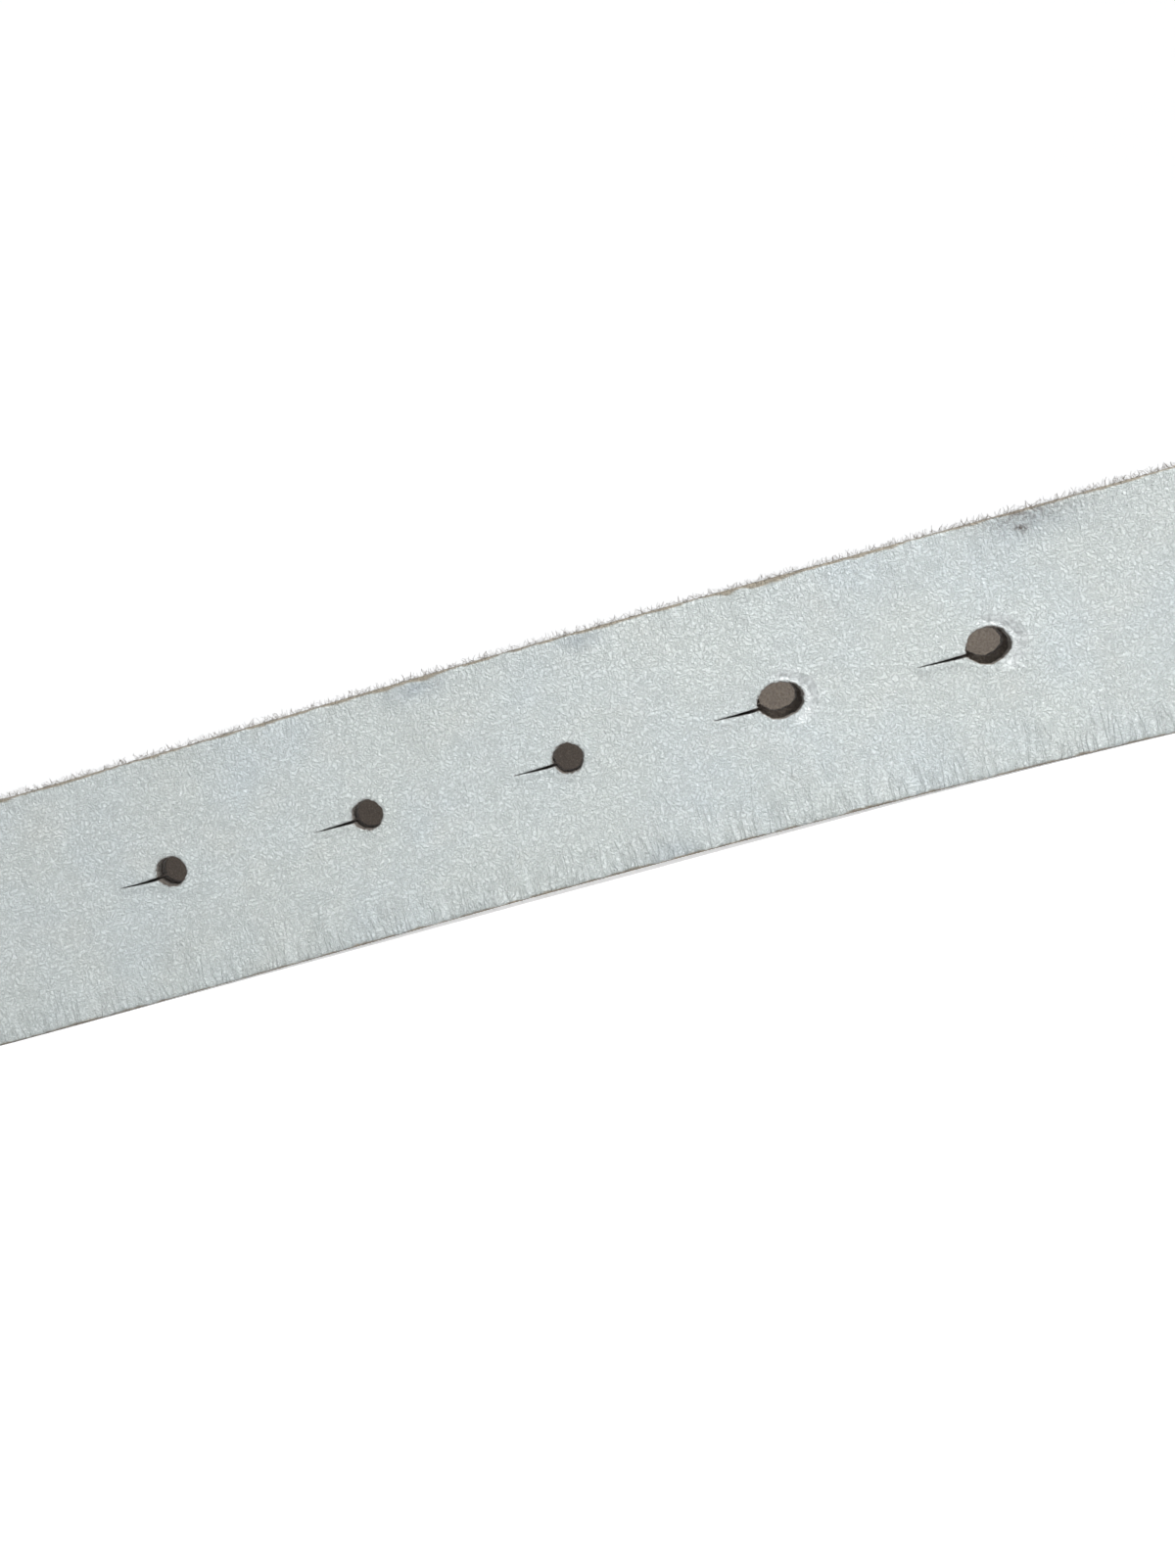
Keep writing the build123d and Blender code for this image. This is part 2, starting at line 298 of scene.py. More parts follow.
    def spot_on(self, s: float) -> Vector:
        """One point on the outer side, halfway up, in metres."""
        return Vector(self.place(np.array(s), np.array(STRAP.width / 2), np.array(0.0)))


# ---------------------------------------------------------------- keyholes
@dataclass(frozen=True)
class Keyhole:
    """A hole with a slit beside it. The hole is an ellipse, stretched where it has been used."""

    place: float
    half_long: float = 2.25
    half_tall: float = 2.2
    shift: float = 0.0
    used: bool = False
    slit_end: float = 8.0
    slit_width: float = 0.46
    slit_drop: float = 0.36
    slit_sag: float = 0.12
    rise: float = 0.7

    HEIGHT = STRAP.width / 2

    @property
    def middle(self) -> float:
        """Height of the hole's centre on the strap."""
        return self.HEIGHT + self.rise

    def slit_middle(self, u: np.ndarray) -> np.ndarray:
        """Height of the slit's middle line at a distance from the hole's centre."""
        return -self.slit_drop - self.slit_sag * np.sin(np.clip(u / self.slit_end, 0, 1) * math.pi)

    def slit_half(self, u: np.ndarray) -> np.ndarray:
        """Half the slit's width, tapering to its end."""
        share = np.clip((u - self.half_long) / (self.slit_end - self.half_long), 0, 1)
        return self.slit_width / 2 * (1 - 0.5 * share) * np.sqrt(np.clip(1.001 - share, 0, 1))

    def half_outline(self, sign: int, count: int, ease_in: float) -> np.ndarray:
        """Half of the outline, from the slit's end round to the far side of the hole.

        Args:
            sign: 1 for the upper half, -1 for the lower one.
            count: How many points.
            ease_in: How much smaller than the face's hole this one is.

        Returns:
            The points, as distances along and across the strap from the hole's centre.
        """
        long, tall = self.half_long - ease_in, self.half_tall - ease_in
        join = self.shift + long * 0.99
        u = np.linspace(self.slit_end, join, 60)
        v = self.slit_middle(u) + sign * self.slit_half(u) * (1 if ease_in <= 0 else 0.5)
        first = math.asin(max(-0.95, min(0.95, v[-1] / tall)))
        angle = np.linspace(first, sign * math.pi, 90)[1:]
        rough = 1 + 0.022 * np.sin(angle * 5 + self.place) + 0.014 * np.sin(angle * 11)
        rough = rough + 0.008 * np.sin(angle * 23)
        outline = np.concatenate(
            [
                np.stack([u, v], 1),
                np.stack([self.shift + long * rough * np.cos(angle), tall * rough * np.sin(angle)], 1),
            ]
        )
        run = np.concatenate([[0], np.cumsum(np.hypot(*np.diff(outline, axis=0).T))])
        even = np.linspace(0, run[-1], count)
        return np.stack([np.interp(even, run, outline[:, axis]) for axis in range(2)], 1)

    def outline(self, half: int, ease_in: float) -> np.ndarray:
        """The whole outline with twice half points, starting at the slit's end and going round once.

        Args:
            half: Half the number of points.
            ease_in: How much smaller than the face's hole this one is.

        Returns:
            The points, as distances from the hole's centre.
        """
        upper = self.half_outline(1, half + 1, ease_in)
        lower = self.half_outline(-1, half + 1, ease_in)
        middle = (upper[-1] + lower[-1]) / 2
        tip = (upper[0] + lower[0]) / 2
        return np.concatenate([[tip], upper[1:-1], [middle], lower[1:-1][::-1]])


KEYHOLES = (
    Keyhole(2 * STRAP.hole_pitch, slit_sag=0.18),
    Keyhole(STRAP.hole_pitch, slit_sag=0.05),
    Keyhole(0.0),
    Keyhole(-STRAP.hole_pitch, 3.3, 2.6, -1.0, True, slit_end=8.6),
    Keyhole(-2 * STRAP.hole_pitch, 3.1, 2.6, -0.3, True, slit_end=9.6, slit_drop=0.5),
)


# ---------------------------------------------------------------- relief and wear of the coated face, with painted shade and painted highlights
class FaceWear:
    """Creases, dents, dirt, painted shade, painted highlights and worn edges of the coated side, by place on
    the strap.
    """

    def holes_relief(self, s: np.ndarray, t: np.ndarray) -> np.ndarray:
        """Raised rims, radial folds and the dents that the stud has pressed beside the used holes.

        Args:
            s: Distances along the strap.
            t: Heights across it.

        Returns:
            The height at each place, in millimetres.
        """
        height = np.zeros(np.broadcast(s, t).shape)
        for hole in KEYHOLES:
            u, v = s - hole.place, t - hole.middle
            reach = np.hypot(u, v)
            near = reach < 13
            scale = (hole.half_long + hole.half_tall) / 2
            gap = (np.hypot((u - hole.shift) / hole.half_long, v / hole.half_tall) - 1) * scale
            gap = np.maximum(gap, 0)
            angle = np.arctan2(v, u - hole.shift)
            away = np.maximum(np.hypot(u - hole.shift, v), 0.1)
            rim = 0.09 * np.exp(-(((gap - 0.55) / 0.5) ** 2))
            rays = fold_lines(angle * 2.6 + 20, gap * 0.25, 0.5, 31 + int(hole.place), 3.0)
            rays = -0.09 * rays * np.exp(-(((gap - 1.5) / 1.6) ** 2))
            opening = ease(u, hole.half_long, hole.half_long + 1)
            along = opening * (1 - ease(u, hole.slit_end - 1, hole.slit_end + 0.6))
            across = v - hole.slit_middle(u)
            lower = 0.22 * np.exp(-(((across + 0.55) / 0.42) ** 2))
            upper = 0.04 * np.exp(-(((across - 0.5) / 0.4) ** 2))
            height += np.where(near, rim + rays + along * (lower + upper), 0)
            if hole.used:
                sector = ease(-(u - hole.shift) / away + 0.25 * v / away, -0.15, 0.55)
                wobble = 0.2 * ripple(angle * 2, 0 * s, 1.0, 8 + int(hole.place))
                dent = np.exp(-(((gap - 0.85 + wobble) / 0.5) ** 2))
                lip = np.exp(-(((gap - 1.95 + wobble) / 0.28) ** 2))
                second = np.exp(-(((gap - 2.7 + wobble) / 0.22) ** 2))
                crumple = fold_lines(angle * 5, reach, 1.2, 77, 2.5) * np.exp(-(((gap - 1.6) / 1.0) ** 2))
                pressed = -0.36 * dent + 0.3 * lip + 0.14 * second - 0.22 * crumple
                height += np.where(near, sector * pressed, 0)
        return height

    def relief(self, s: np.ndarray, t: np.ndarray) -> np.ndarray:
        """Height of the coated side above its even surface, in millimetres.

        Args:
            s: Distances along the strap.
            t: Heights across it.

        Returns:
            The height at each place.
        """
        edge = np.minimum(t, STRAP.width - t)
        side = np.where(t > STRAP.width / 2, 40.0, 0.0)
        lean = 0.9 * ripple(s, t, 7.0, 11)
        creases = fold_lines(s + lean, t * 0.14 + side, 1.9, 12, 3.2) * np.exp(-edge / 3.6)
        creases += 0.7 * fold_lines(s - lean, t * 0.2 + side, 1.1, 13, 3.0) * np.exp(-edge / 1.8)
        gather = 0.6 + 0.4 * ripple(s, side, 11.0, 14)
        swell = 0.12 * ripple(s, t, 17.0, 3) + 0.07 * ripple(s, t, 6.0, 4) + 0.035 * ripple(s, t, 2.2, 5)
        patch = np.clip(0.45 + 0.8 * ripple(s, t, 9.0, 21), 0, 1)
        net = fold_lines(s + 0.35 * t, t - 0.2 * s, 1.5, 22, 4.0) * patch
        slant = fold_lines(s * 0.8 - t * 0.6, s * 0.13 + t * 0.2, 1.1, 23, 4.0)
        slant *= spot(s, t, (70.0, 6.0), (16.0, 7.0))
        lift = 0.16 * spot(s, t, (19.0, 34.2), (5.0, 0.9)) + 0.16 * spot(s, t, (-31.5, 34.2), (5.5, 0.9))
        return (
            swell
            + lift
            - 0.11 * creases * gather * np.where(t > STRAP.width / 2, 0.5, 1.0)
            - 0.045 * net
            - 0.07 * slant
            + self.holes_relief(s, t)
        )

    def bare(self, s: np.ndarray, t: np.ndarray) -> np.ndarray:
        """Where the coat has gone from the edges and the leather shows, from 0 to 1.

        Args:
            s: Distances along the strap.
            t: Heights across it.

        Returns:
            The share of bare leather at each place.
        """
        edge = np.minimum(t, STRAP.width - t)
        side = np.where(t > STRAP.width / 2, 60.0, 0.0)
        reach = 0.3 + 0.16 * ripple(s, side, 2.3, 41) + 0.1 * ripple(s, side, 0.7, 42)
        for middle, half in ((19.0, 5.0), (-31.5, 5.5)):
            reach = reach + 0.5 * np.exp(-(((s - middle) / half) ** 4)) * (t > STRAP.width / 2) * (
                0.5 + 0.5 * ripple(s, side, 1.3, 43)
            )
        return 1 - ease(edge - reach, -0.08, 0.12)

    def dirt(self, s: np.ndarray, t: np.ndarray) -> np.ndarray:
        """Dark brown dirt on some marks, with painted shade in the rims and walls of the holes and in the
        slits, from 0 to 1.

        Args:
            s: Distances along the strap.
            t: Heights across it.

        Returns:
            The share of dirt and painted shade at each place.
        """
        total = 0.75 * spot(s, t, (-68.0, 32.5), (0.8, 0.6))
        total = total + 0.45 * spot(s, t, (-69.0, 34.6), (6.0, 1.6))
        total = total + 0.5 * spot(s, t, (-30.0, 7.2), (0.5, 0.3))
        for hole in KEYHOLES:
            u, v = s - hole.place, t - hole.middle
            scale = (hole.half_long + hole.half_tall) / 2
            gap = (np.hypot((u - hole.shift) / hole.half_long, v / hole.half_tall) - 1) * scale
            # Painted light: the lower part of each used hole is left lighter, where light from above falls
            # into it.
            lit = 0.6 * hole.used * ease(-v, 0.3, 1.8)
            total = total + ((0.85 if hole.used else 0.7) - lit) * np.exp(-np.maximum(gap, 0) / 0.16)
            inside = (u > 0) & (u < hole.slit_end + 0.2)
            total = total + np.where(inside, 0.4, 0) * np.exp(
                -np.maximum(np.abs(v - hole.slit_middle(u)) - hole.slit_half(u), 0) / 0.09
            )
        return np.clip(total, 0, 1)

    def stain_and_shade(self, s: np.ndarray, t: np.ndarray) -> np.ndarray:
        """Blue-grey rubbed-off dye on the coat, from 0 to 1.

        Args:
            s: Distances along the strap.
            t: Heights across it.

        Returns:
            The share of dye at each place.
        """
        total = 0.5 * spot(s, t, (18.0, 33.6), (4.5, 1.6)) + 0.45 * spot(s, t, (-6.5, 34.0), (3.0, 1.4))
        total = total + 0.4 * spot(s, t, (-11.0, 1.2), (4.0, 1.5))
        total = total + 0.35 * spot(s, t, (-70.0, 33.0), (8.0, 2.4))
        cloud = 0.5 + 0.5 * ripple(s, t, 1.4, 51)
        return np.clip(total * (0.6 + 0.6 * cloud), 0, 1)

    def far_lining_shade(self, s: np.ndarray) -> np.ndarray:
        """Painted shade on the lining, round 300 mm along the strap inside the loop, from 0 to 1."""
        return 1 - ease(np.abs(s - 300.0), 75.0, 105.0)

    def polish_and_highlight(self, s: np.ndarray, t: np.ndarray) -> np.ndarray:
        """Where the stud has pressed and rubbed the coat shiny, from 0 to 1; the coat's colour is also
        lightened there as a painted highlight.

        Args:
            s: Distances along the strap.
            t: Heights across it.

        Returns:
            The share of polish and painted highlight at each place.
        """
        total = np.zeros(np.broadcast(s, t).shape)
        for hole in KEYHOLES:
            if hole.used:
                u, v = s - hole.place, t - hole.middle
                away = np.maximum(np.hypot(u - hole.shift, v), 0.1)
                scale = (hole.half_long + hole.half_tall) / 2
                gap = (np.hypot((u - hole.shift) / hole.half_long, v / hole.half_tall) - 1) * scale
                facing = ease(-(u - hole.shift) / away + 0.25 * v / away, -0.1, 0.5)
                total = total + facing * np.exp(-(((gap - 1.1) / 0.9) ** 2))
        return np.clip(total, 0, 1)


# ---------------------------------------------------------------- leather meshes
class Skin(Enum):
    """Which surface of a leather a face of the mesh belongs to, by material place."""

    COAT = 0
    RAW = 1


@dataclass(frozen=True)
class Layer:
    """One leather of the strap: its depth in the strap and how its edge is rounded."""

    name: str
    near: float
    far: float
    rounding: float
    relief_share: float
    hole_ease: float
    hole_rise: float


FACE = Layer("face_leather", 0.0, STRAP.face, 0.7, 1.0, 0.0, 0.0)
LINING = Layer("lining_leather", STRAP.face, STRAP.thickness, 0.25, 0.0, 0.15, 0.55)


class LeatherMesh:
    """Builds one closed piece of leather from a grid along and across the strap."""

    EDGE_ROWS = (0.0, 0.07, 0.17, 0.3, 0.46, 0.66, 0.9, 1.2, 1.6)
    ROW_STEP = 0.5
    WALL_ROWS = 3
    WINDOW_LONG = (-7.0, 11.0)
    WINDOW_TALL = 8.0
    RINGS = (0.85, 0.72, 0.6, 0.5, 0.41, 0.33, 0.26, 0.2, 0.15, 0.11, 0.078, 0.052, 0.032, 0.017, 0.007, 0.0)
    WALL_RINGS = 5
    LIP = 0.2
    TONGUE = (0.5, 1.2)
    SUNK = (0.005, 0.03)

    def __init__(self, path: StrapPath, wear: FaceWear, layer: Layer) -> None:
        """Keeps the path, the wear and the layer.

        Args:
            path: The strap's path.
            wear: Relief and wear of the coated side.
            layer: Which leather this is.
        """
        self.path, self.wear, self.layer = path, wear, layer
        self.points, self.places, self.faces, self.skins, self.caps = [], [], [], [], []
        self.count = 0
        middle = np.arange(2.0, STRAP.width - 1.99, self.ROW_STEP)
        edge = np.array(self.EDGE_ROWS)
        self.rows = np.concatenate([edge, middle, (STRAP.width - edge)[::-1]])

    def add(self, s: np.ndarray, t: np.ndarray, depth: np.ndarray) -> np.ndarray:
        """Adds points to the piece.

        Args:
            s: Distances along the strap.
            t: Heights across it.
            depth: Distances inwards from the outer side.

        Returns:
            The points' numbers, in the shape of the arguments.
        """
        s, t, depth = np.broadcast_arrays(s, t, depth)
        self.points.append(self.path.place(s, t, depth).reshape(-1, 3))
        self.places.append(np.stack([s, t, depth], -1).reshape(-1, 3))
        numbers = np.arange(self.count, self.count + s.size).reshape(s.shape)
        self.count += s.size
        return numbers

    def sheet(self, grid: np.ndarray, skin: Skin, keep: np.ndarray | None = None) -> None:
        """Adds the four-sided faces between neighbouring points of a grid of numbers.

        Args:
            grid: Numbers of the points.
            skin: Which surface the faces belong to.
            keep: Which cells to make, or all of them.
        """
        cells = np.stack([grid[:-1, :-1], grid[1:, :-1], grid[1:, 1:], grid[:-1, 1:]], -1)
        cells = cells.reshape(-1, 4) if keep is None else cells[keep]
        self.faces.extend(cells.tolist())
        self.skins.extend([skin.value] * len(cells))

    def surface_depth(
        self, s: np.ndarray, t: np.ndarray, low: np.ndarray, high: np.ndarray, outer: bool
    ) -> np.ndarray:
        """Depth of the outer or inner surface, with its edge rounding and relief.

        Args:
            s: Distance along the strap.
            t: Height across it.
            low: Lower edge of the leather there.
            high: Upper edge of the leather there.
            outer: Whether it is the outer surface.

        Returns:
            The depth of each point.
        """
        layer = self.layer
        edge = np.minimum(t - low, high - t)
        radius = layer.rounding
        inset = radius - np.sqrt(np.maximum(radius**2 - np.clip(radius - edge, 0, radius) ** 2, 0))
        if outer:
            fade = ease(edge, 0.0, 0.35)
            relief = self.wear.relief(s, t) * layer.relief_share * (0.25 + 0.75 * fade)
            return layer.near + (inset if layer is FACE else 0) - relief
        if layer is FACE:
            return np.full(edge.shape, layer.far)
        soft = 0.05 * ripple(s, t, 1.7, 61) + 0.06 * ripple(s, t, 5.0, 62)
        return layer.far - inset + soft * ease(edge, 0, 0.4)

    def keyhole_patch(self, hole: Keyhole, s: np.ndarray, grid: np.ndarray, outer: bool) -> tuple:
        """Fills the window round a keyhole with rings that close in on its outline.

        Args:
            hole: The keyhole.
            s: Distances along the strap of the grid's lines.
            grid: Numbers of the grid's points.
            outer: Whether this is the outer surface.

        Returns:
            The numbers of the outline's points, their places and their depths.
        """
        left, right = (int(np.argmin(np.abs(s - hole.place - side))) for side in self.WINDOW_LONG)
        low, high = (
            int(np.argmin(np.abs(self.rows - Keyhole.HEIGHT - side)))
            for side in (-self.WINDOW_TALL, self.WINDOW_TALL)
        )
        mid = int(np.argmin(np.abs(self.rows - Keyhole.HEIGHT)))
        loop = [(right, j) for j in range(mid, high)]
        loop += [(i, high) for i in range(right, left, -1)]
        loop += [(left, j) for j in range(high, low, -1)]
        loop += [(i, low) for i in range(left, right)]
        loop += [(right, j) for j in range(low, mid)]
        index = np.array(loop)
        border = np.stack([s[index[:, 0]], self.rows[index[:, 1]]], 1)
        ring = grid[index[:, 0], index[:, 1]]
        outline = hole.outline(len(loop) // 2, self.layer.hole_ease * (4 if hole.used else 1))
        outline = outline + (hole.place, hole.middle + self.layer.hole_rise * hole.used)
        rings = [ring]
        for share in self.RINGS:
            spots = border * share + outline * (1 - share)
            gap = np.hypot(*(spots - outline).T)
            lip = self.LIP if (outer and self.layer is FACE) else 0.06
            drop = lip - np.sqrt(np.maximum(lip**2 - np.clip(lip - gap, 0, lip) ** 2, 0))
            depth = self.surface_depth(spots[:, 0], spots[:, 1], 0, STRAP.width, outer)
            depth = depth + (drop if outer else -drop)
            rings.append(self.add(spots[:, 0], spots[:, 1], depth))
        whole = np.stack([np.append(ring, ring[0]) for ring in rings])
        self.sheet(whole, Skin.COAT)
        return rings[-1], outline, depth

    def keyhole_wall(self, hole: Keyhole, outer: tuple, inner: tuple) -> None:
        """Joins a keyhole's outer and inner outlines with a rough cut wall.

        Args:
            hole: The keyhole.
            outer: Numbers, places and depths of the outer outline.
            inner: The same for the inner outline.
        """
        rings = [outer[0]]
        centre = np.array([hole.place + hole.shift, hole.middle])
        for step in range(1, self.WALL_RINGS + 1):
            share = step / (self.WALL_RINGS + 1)
            spots = outer[1] * (1 - share) + inner[1] * share
            away = spots - centre
            away = away / np.maximum(np.hypot(*away.T), 0.1)[:, None]
            angle = np.arctan2(away[:, 1], away[:, 0])
            open_part = ease(np.hypot(*(spots - centre).T), hole.half_long + 0.5, hole.half_long)
            rough = 0.11 * ripple(angle * 9, 0 * angle + share * 5, 1.0, 71 + step) * open_part
            spots = spots - away * (rough + 0.05 * open_part)[:, None]
            rings.append(self.add(spots[:, 0], spots[:, 1], outer[2] * (1 - share) + inner[2] * share))
        rings.append(inner[0])
        self.sheet(np.stack([np.append(ring, ring[0]) for ring in rings]), Skin.RAW)

    def with_tongues(self, s: np.ndarray, free_ends: tuple) -> tuple:
        """Carries each joined end a little way under its neighbour, so the seam stays closed.

        Args:
            s: Distances along the piece.
            free_ends: Whether the first and the last end are cut ends of the strap.

        Returns:
            The distances with the tongues, and how far each is sunk.
        """
        out = np.array(self.TONGUE)
        sunk = np.zeros(len(s))
        if not free_ends[0]:
            s = np.concatenate([s[0] - out[::-1], s])
            sunk = np.concatenate([np.array(self.SUNK)[::-1], sunk])
        if not free_ends[1]:
            s = np.concatenate([s, s[-1] + out])
            sunk = np.concatenate([sunk, self.SUNK])
        return s, sunk

    def build(
        self, name: str, s: np.ndarray, low: np.ndarray, high: np.ndarray, free_ends: tuple, holes: tuple
    ) -> bpy.types.Object:
        """Makes the piece.

        Args:
            name: The object's name.
            s: Distances along the strap.
            low: Lower edge of the leather at each distance.
            high: Upper edge of the leather at each distance.
            free_ends: Whether the first and the last end are cut ends of the strap.
            holes: The keyholes in it.

        Returns:
            The object, closed and with its place on the strap stored at each point.
        """
        s_given = s
        s, sunk = self.with_tongues(s, free_ends)
        low, high = (np.interp(s, s_given, side) for side in (low, high))
        low, high = low + sunk, high - sunk
        along = s[:, None]
        t = low[:, None] + self.rows[None, :] * ((high - low) / STRAP.width)[:, None]
        grids = []
        for outer in (True, False):
            depth = self.surface_depth(along, t, low[:, None], high[:, None], outer)
            depth = depth + (sunk if outer else -sunk)[:, None]
            for end, free in zip((s[0], s[-1]), free_ends):
                if free:
                    radius = 0.55
                    gap = np.clip(radius - np.abs(along - end), 0, radius)
                    inset = radius - np.sqrt(radius**2 - gap**2)
                    if outer == (self.layer is FACE):
                        depth = depth + (inset if outer else -inset)
            grids.append(self.add(along + 0 * t, t, depth))
        outer_grid, inner_grid = grids
        keep = np.ones((len(s) - 1, len(self.rows) - 1), bool)
        middles = (s[:-1] + s[1:]) / 2
        heights = (self.rows[:-1] + self.rows[1:]) / 2
        for hole in holes:
            inside = middles - hole.place > self.WINDOW_LONG[0]
            inside &= middles - hole.place < self.WINDOW_LONG[1]
            keep &= ~(inside[:, None] & (np.abs(heights - Keyhole.HEIGHT) < self.WINDOW_TALL)[None, :])
        self.sheet(outer_grid, Skin.COAT, keep)
        self.sheet(inner_grid, Skin.COAT, keep)
        for hole in holes:
            front = self.keyhole_patch(hole, s, outer_grid, True)
            back = self.keyhole_patch(hole, s, inner_grid, False)
            self.keyhole_wall(hole, front, back)
        places = np.concatenate(self.places)
        for row in (0, -1):
            rows = [outer_grid[:, row]]
            first, last = places[outer_grid[:, row], 2], places[inner_grid[:, row], 2]
            for step in range(1, self.WALL_ROWS + 1):
                share = step / (self.WALL_ROWS + 1)
                fray = 0.05 + 0.05 * ripple(s, share * 4 + row, 0.9, 81)
                height = t[:, row] + (fray if row == 0 else -fray)
                rows.append(self.add(s, height, first * (1 - share) + last * share))
            rows.append(inner_grid[:, row])
            self.sheet(np.stack(rows), Skin.RAW)
            self.caps.extend([int(line[end]) for line in rows] for end in (0, -1))
        for end in (0, -1):
            pair = np.stack([outer_grid[end], inner_grid[end]])
            self.caps.extend(np.stack([pair[0, :-1], pair[0, 1:], pair[1, 1:], pair[1, :-1]], -1).tolist())
        return self.finished(name)

    def finished(self, name: str) -> bpy.types.Object:
        """Turns the stored points and faces into an object with its masks.

        Args:
            name: The object's name.

        Returns:
            The object.
        """
        mesh = bpy.data.meshes.new(name)
        mesh.from_pydata(np.concatenate(self.points).tolist(), [], self.faces + self.caps)
        places = np.concatenate(self.places)
        store(mesh, "strap_place", places * MM)
        s, t, depth = places.T
        wear = self.wear
        coated = (depth < self.layer.near + 0.9) & (self.layer is FACE)
        store(mesh, "bare", np.where(coated, wear.bare(s, t), 0))
        # On the coat this mask holds dye stains; elsewhere it holds painted shade on the lining.
        store(mesh, "stain_and_shade", np.where(coated, wear.stain_and_shade(s, t), wear.far_lining_shade(s)))
        store(mesh, "polish_and_highlight", np.where(coated, wear.polish_and_highlight(s, t), 0))
        store(mesh, "dirt", wear.dirt(s, t))
        caps = len(self.caps)
        mesh.polygons.foreach_set("material_index", self.skins + [Skin.RAW.value] * caps)
        mesh.polygons.foreach_set("use_smooth", [True] * len(self.faces) + [False] * caps)
        mesh.update()
        outwards(mesh)
        obj = bpy.data.objects.new(name, mesh)
        bpy.context.scene.collection.objects.link(obj)
        return obj


def store(mesh: bpy.types.Mesh, name: str, values: np.ndarray) -> None:
    """Stores a number or a vector at each point of a mesh.

    Args:
        mesh: The mesh.
        name: The attribute's name.
        values: One value, or one row of three, for each point.
    """
    kind, field = ("FLOAT_VECTOR", "vector") if values.ndim == 2 else ("FLOAT", "value")
    layer = mesh.attributes.new(name, kind, "POINT")
    layer.data.foreach_set(field, np.ascontiguousarray(values, np.float32).ravel())


def outwards(mesh: bpy.types.Mesh) -> None:
    """Points every face of a closed mesh outwards.

    Args:
        mesh: The mesh.
    """
    shape = bmesh.new()
    shape.from_mesh(mesh)
    bmesh.ops.recalc_face_normals(shape, faces=shape.faces)
    shape.to_mesh(mesh)
    shape.free()
    mesh.update()


# ---------------------------------------------------------------- node trees
class Pen:
    """Adds nodes and links to a node tree in few words."""

    def __init__(self, tree: bpy.types.NodeTree) -> None:
        """Keeps the tree."""
        self.tree = tree

    def add(self, kind: str, inputs: dict | None = None, **settings: object) -> bpy.types.Node:
        """Adds a node.

        Args:
            kind: The node's type name.
            inputs: Values or sockets by input name or number.
            settings: The node's own settings.

        Returns:
            The node.
        """
        node = self.tree.nodes.new(kind)
        for key, value in settings.items():
            setattr(node, key, value)
        for key, value in (inputs or {}).items():
            if isinstance(value, bpy.types.NodeSocket):
                self.tree.links.new(value, node.inputs[key])
            else:
                node.inputs[key].default_value = value
        return node

    def math(
        self, operation: str, first: object, second: object = 0.0, clamp: bool = False
    ) -> bpy.types.NodeSocket:
        """The result of one sum of two values."""
        settings = {"operation": operation, "use_clamp": clamp}
        return self.add("ShaderNodeMath", {0: first, 1: second}, **settings).outputs[0]

    def mix(self, share: object, first: object, second: object) -> bpy.types.NodeSocket:
        """Two colours mixed.

        Args:
            share: How much of the second colour.
            first: A colour or a socket.
            second: A colour or a socket.

        Returns:
            The mixed colour.
        """
        node = self.add("ShaderNodeMix", data_type="RGBA")
        for key, value in ((0, share), (6, first), (7, second)):
            if isinstance(value, bpy.types.NodeSocket):
                self.tree.links.new(value, node.inputs[key])
            else:
                node.inputs[key].default_value = value
        return node.outputs[2]

    def span(
        self, value: object, low: float, high: float, start: float = 0.0, end: float = 1.0
    ) -> bpy.types.NodeSocket:
        """A value moved from one span to another and kept inside it."""
        inputs = {0: value, 1: low, 2: high, 3: start, 4: end}
        return self.add("ShaderNodeMapRange", inputs).outputs[0]

    def noise(self, place: object, size: float, detail: float = 2.0) -> bpy.types.NodeSocket:
        """Soft noise whose blots are about one size across, in metres."""
        inputs = {"Vector": place, "Scale": 1 / size, "Detail": detail}
        return self.add("ShaderNodeTexNoise", inputs).outputs["Fac"]

    def stored(self, name: str, output: str = "Fac") -> bpy.types.NodeSocket:
        """A value stored on the mesh."""
        return self.add("ShaderNodeAttribute", attribute_name=name).outputs[output]


def new_tree(name: str, kind: str, inputs: tuple, outputs: tuple) -> tuple:
    """An empty node group with its sockets.

    Args:
        name: The group's name.
        kind: Shader or geometry tree.
        inputs: Name, socket kind and default of each input.
        outputs: Name and socket kind of each output.

    Returns:
        The tree, its pen, its input node and its output node.
    """
    tree = bpy.data.node_groups.new(name, kind)
    for label, socket, value in inputs:
        made = tree.interface.new_socket(name=label, in_out="INPUT", socket_type="NodeSocket" + socket)
        if value is not None:
            made.default_value = value
    for label, socket in outputs:
        tree.interface.new_socket(name=label, in_out="OUTPUT", socket_type="NodeSocket" + socket)
    pen = Pen(tree)
    return tree, pen, pen.add("NodeGroupInput"), pen.add("NodeGroupOutput")


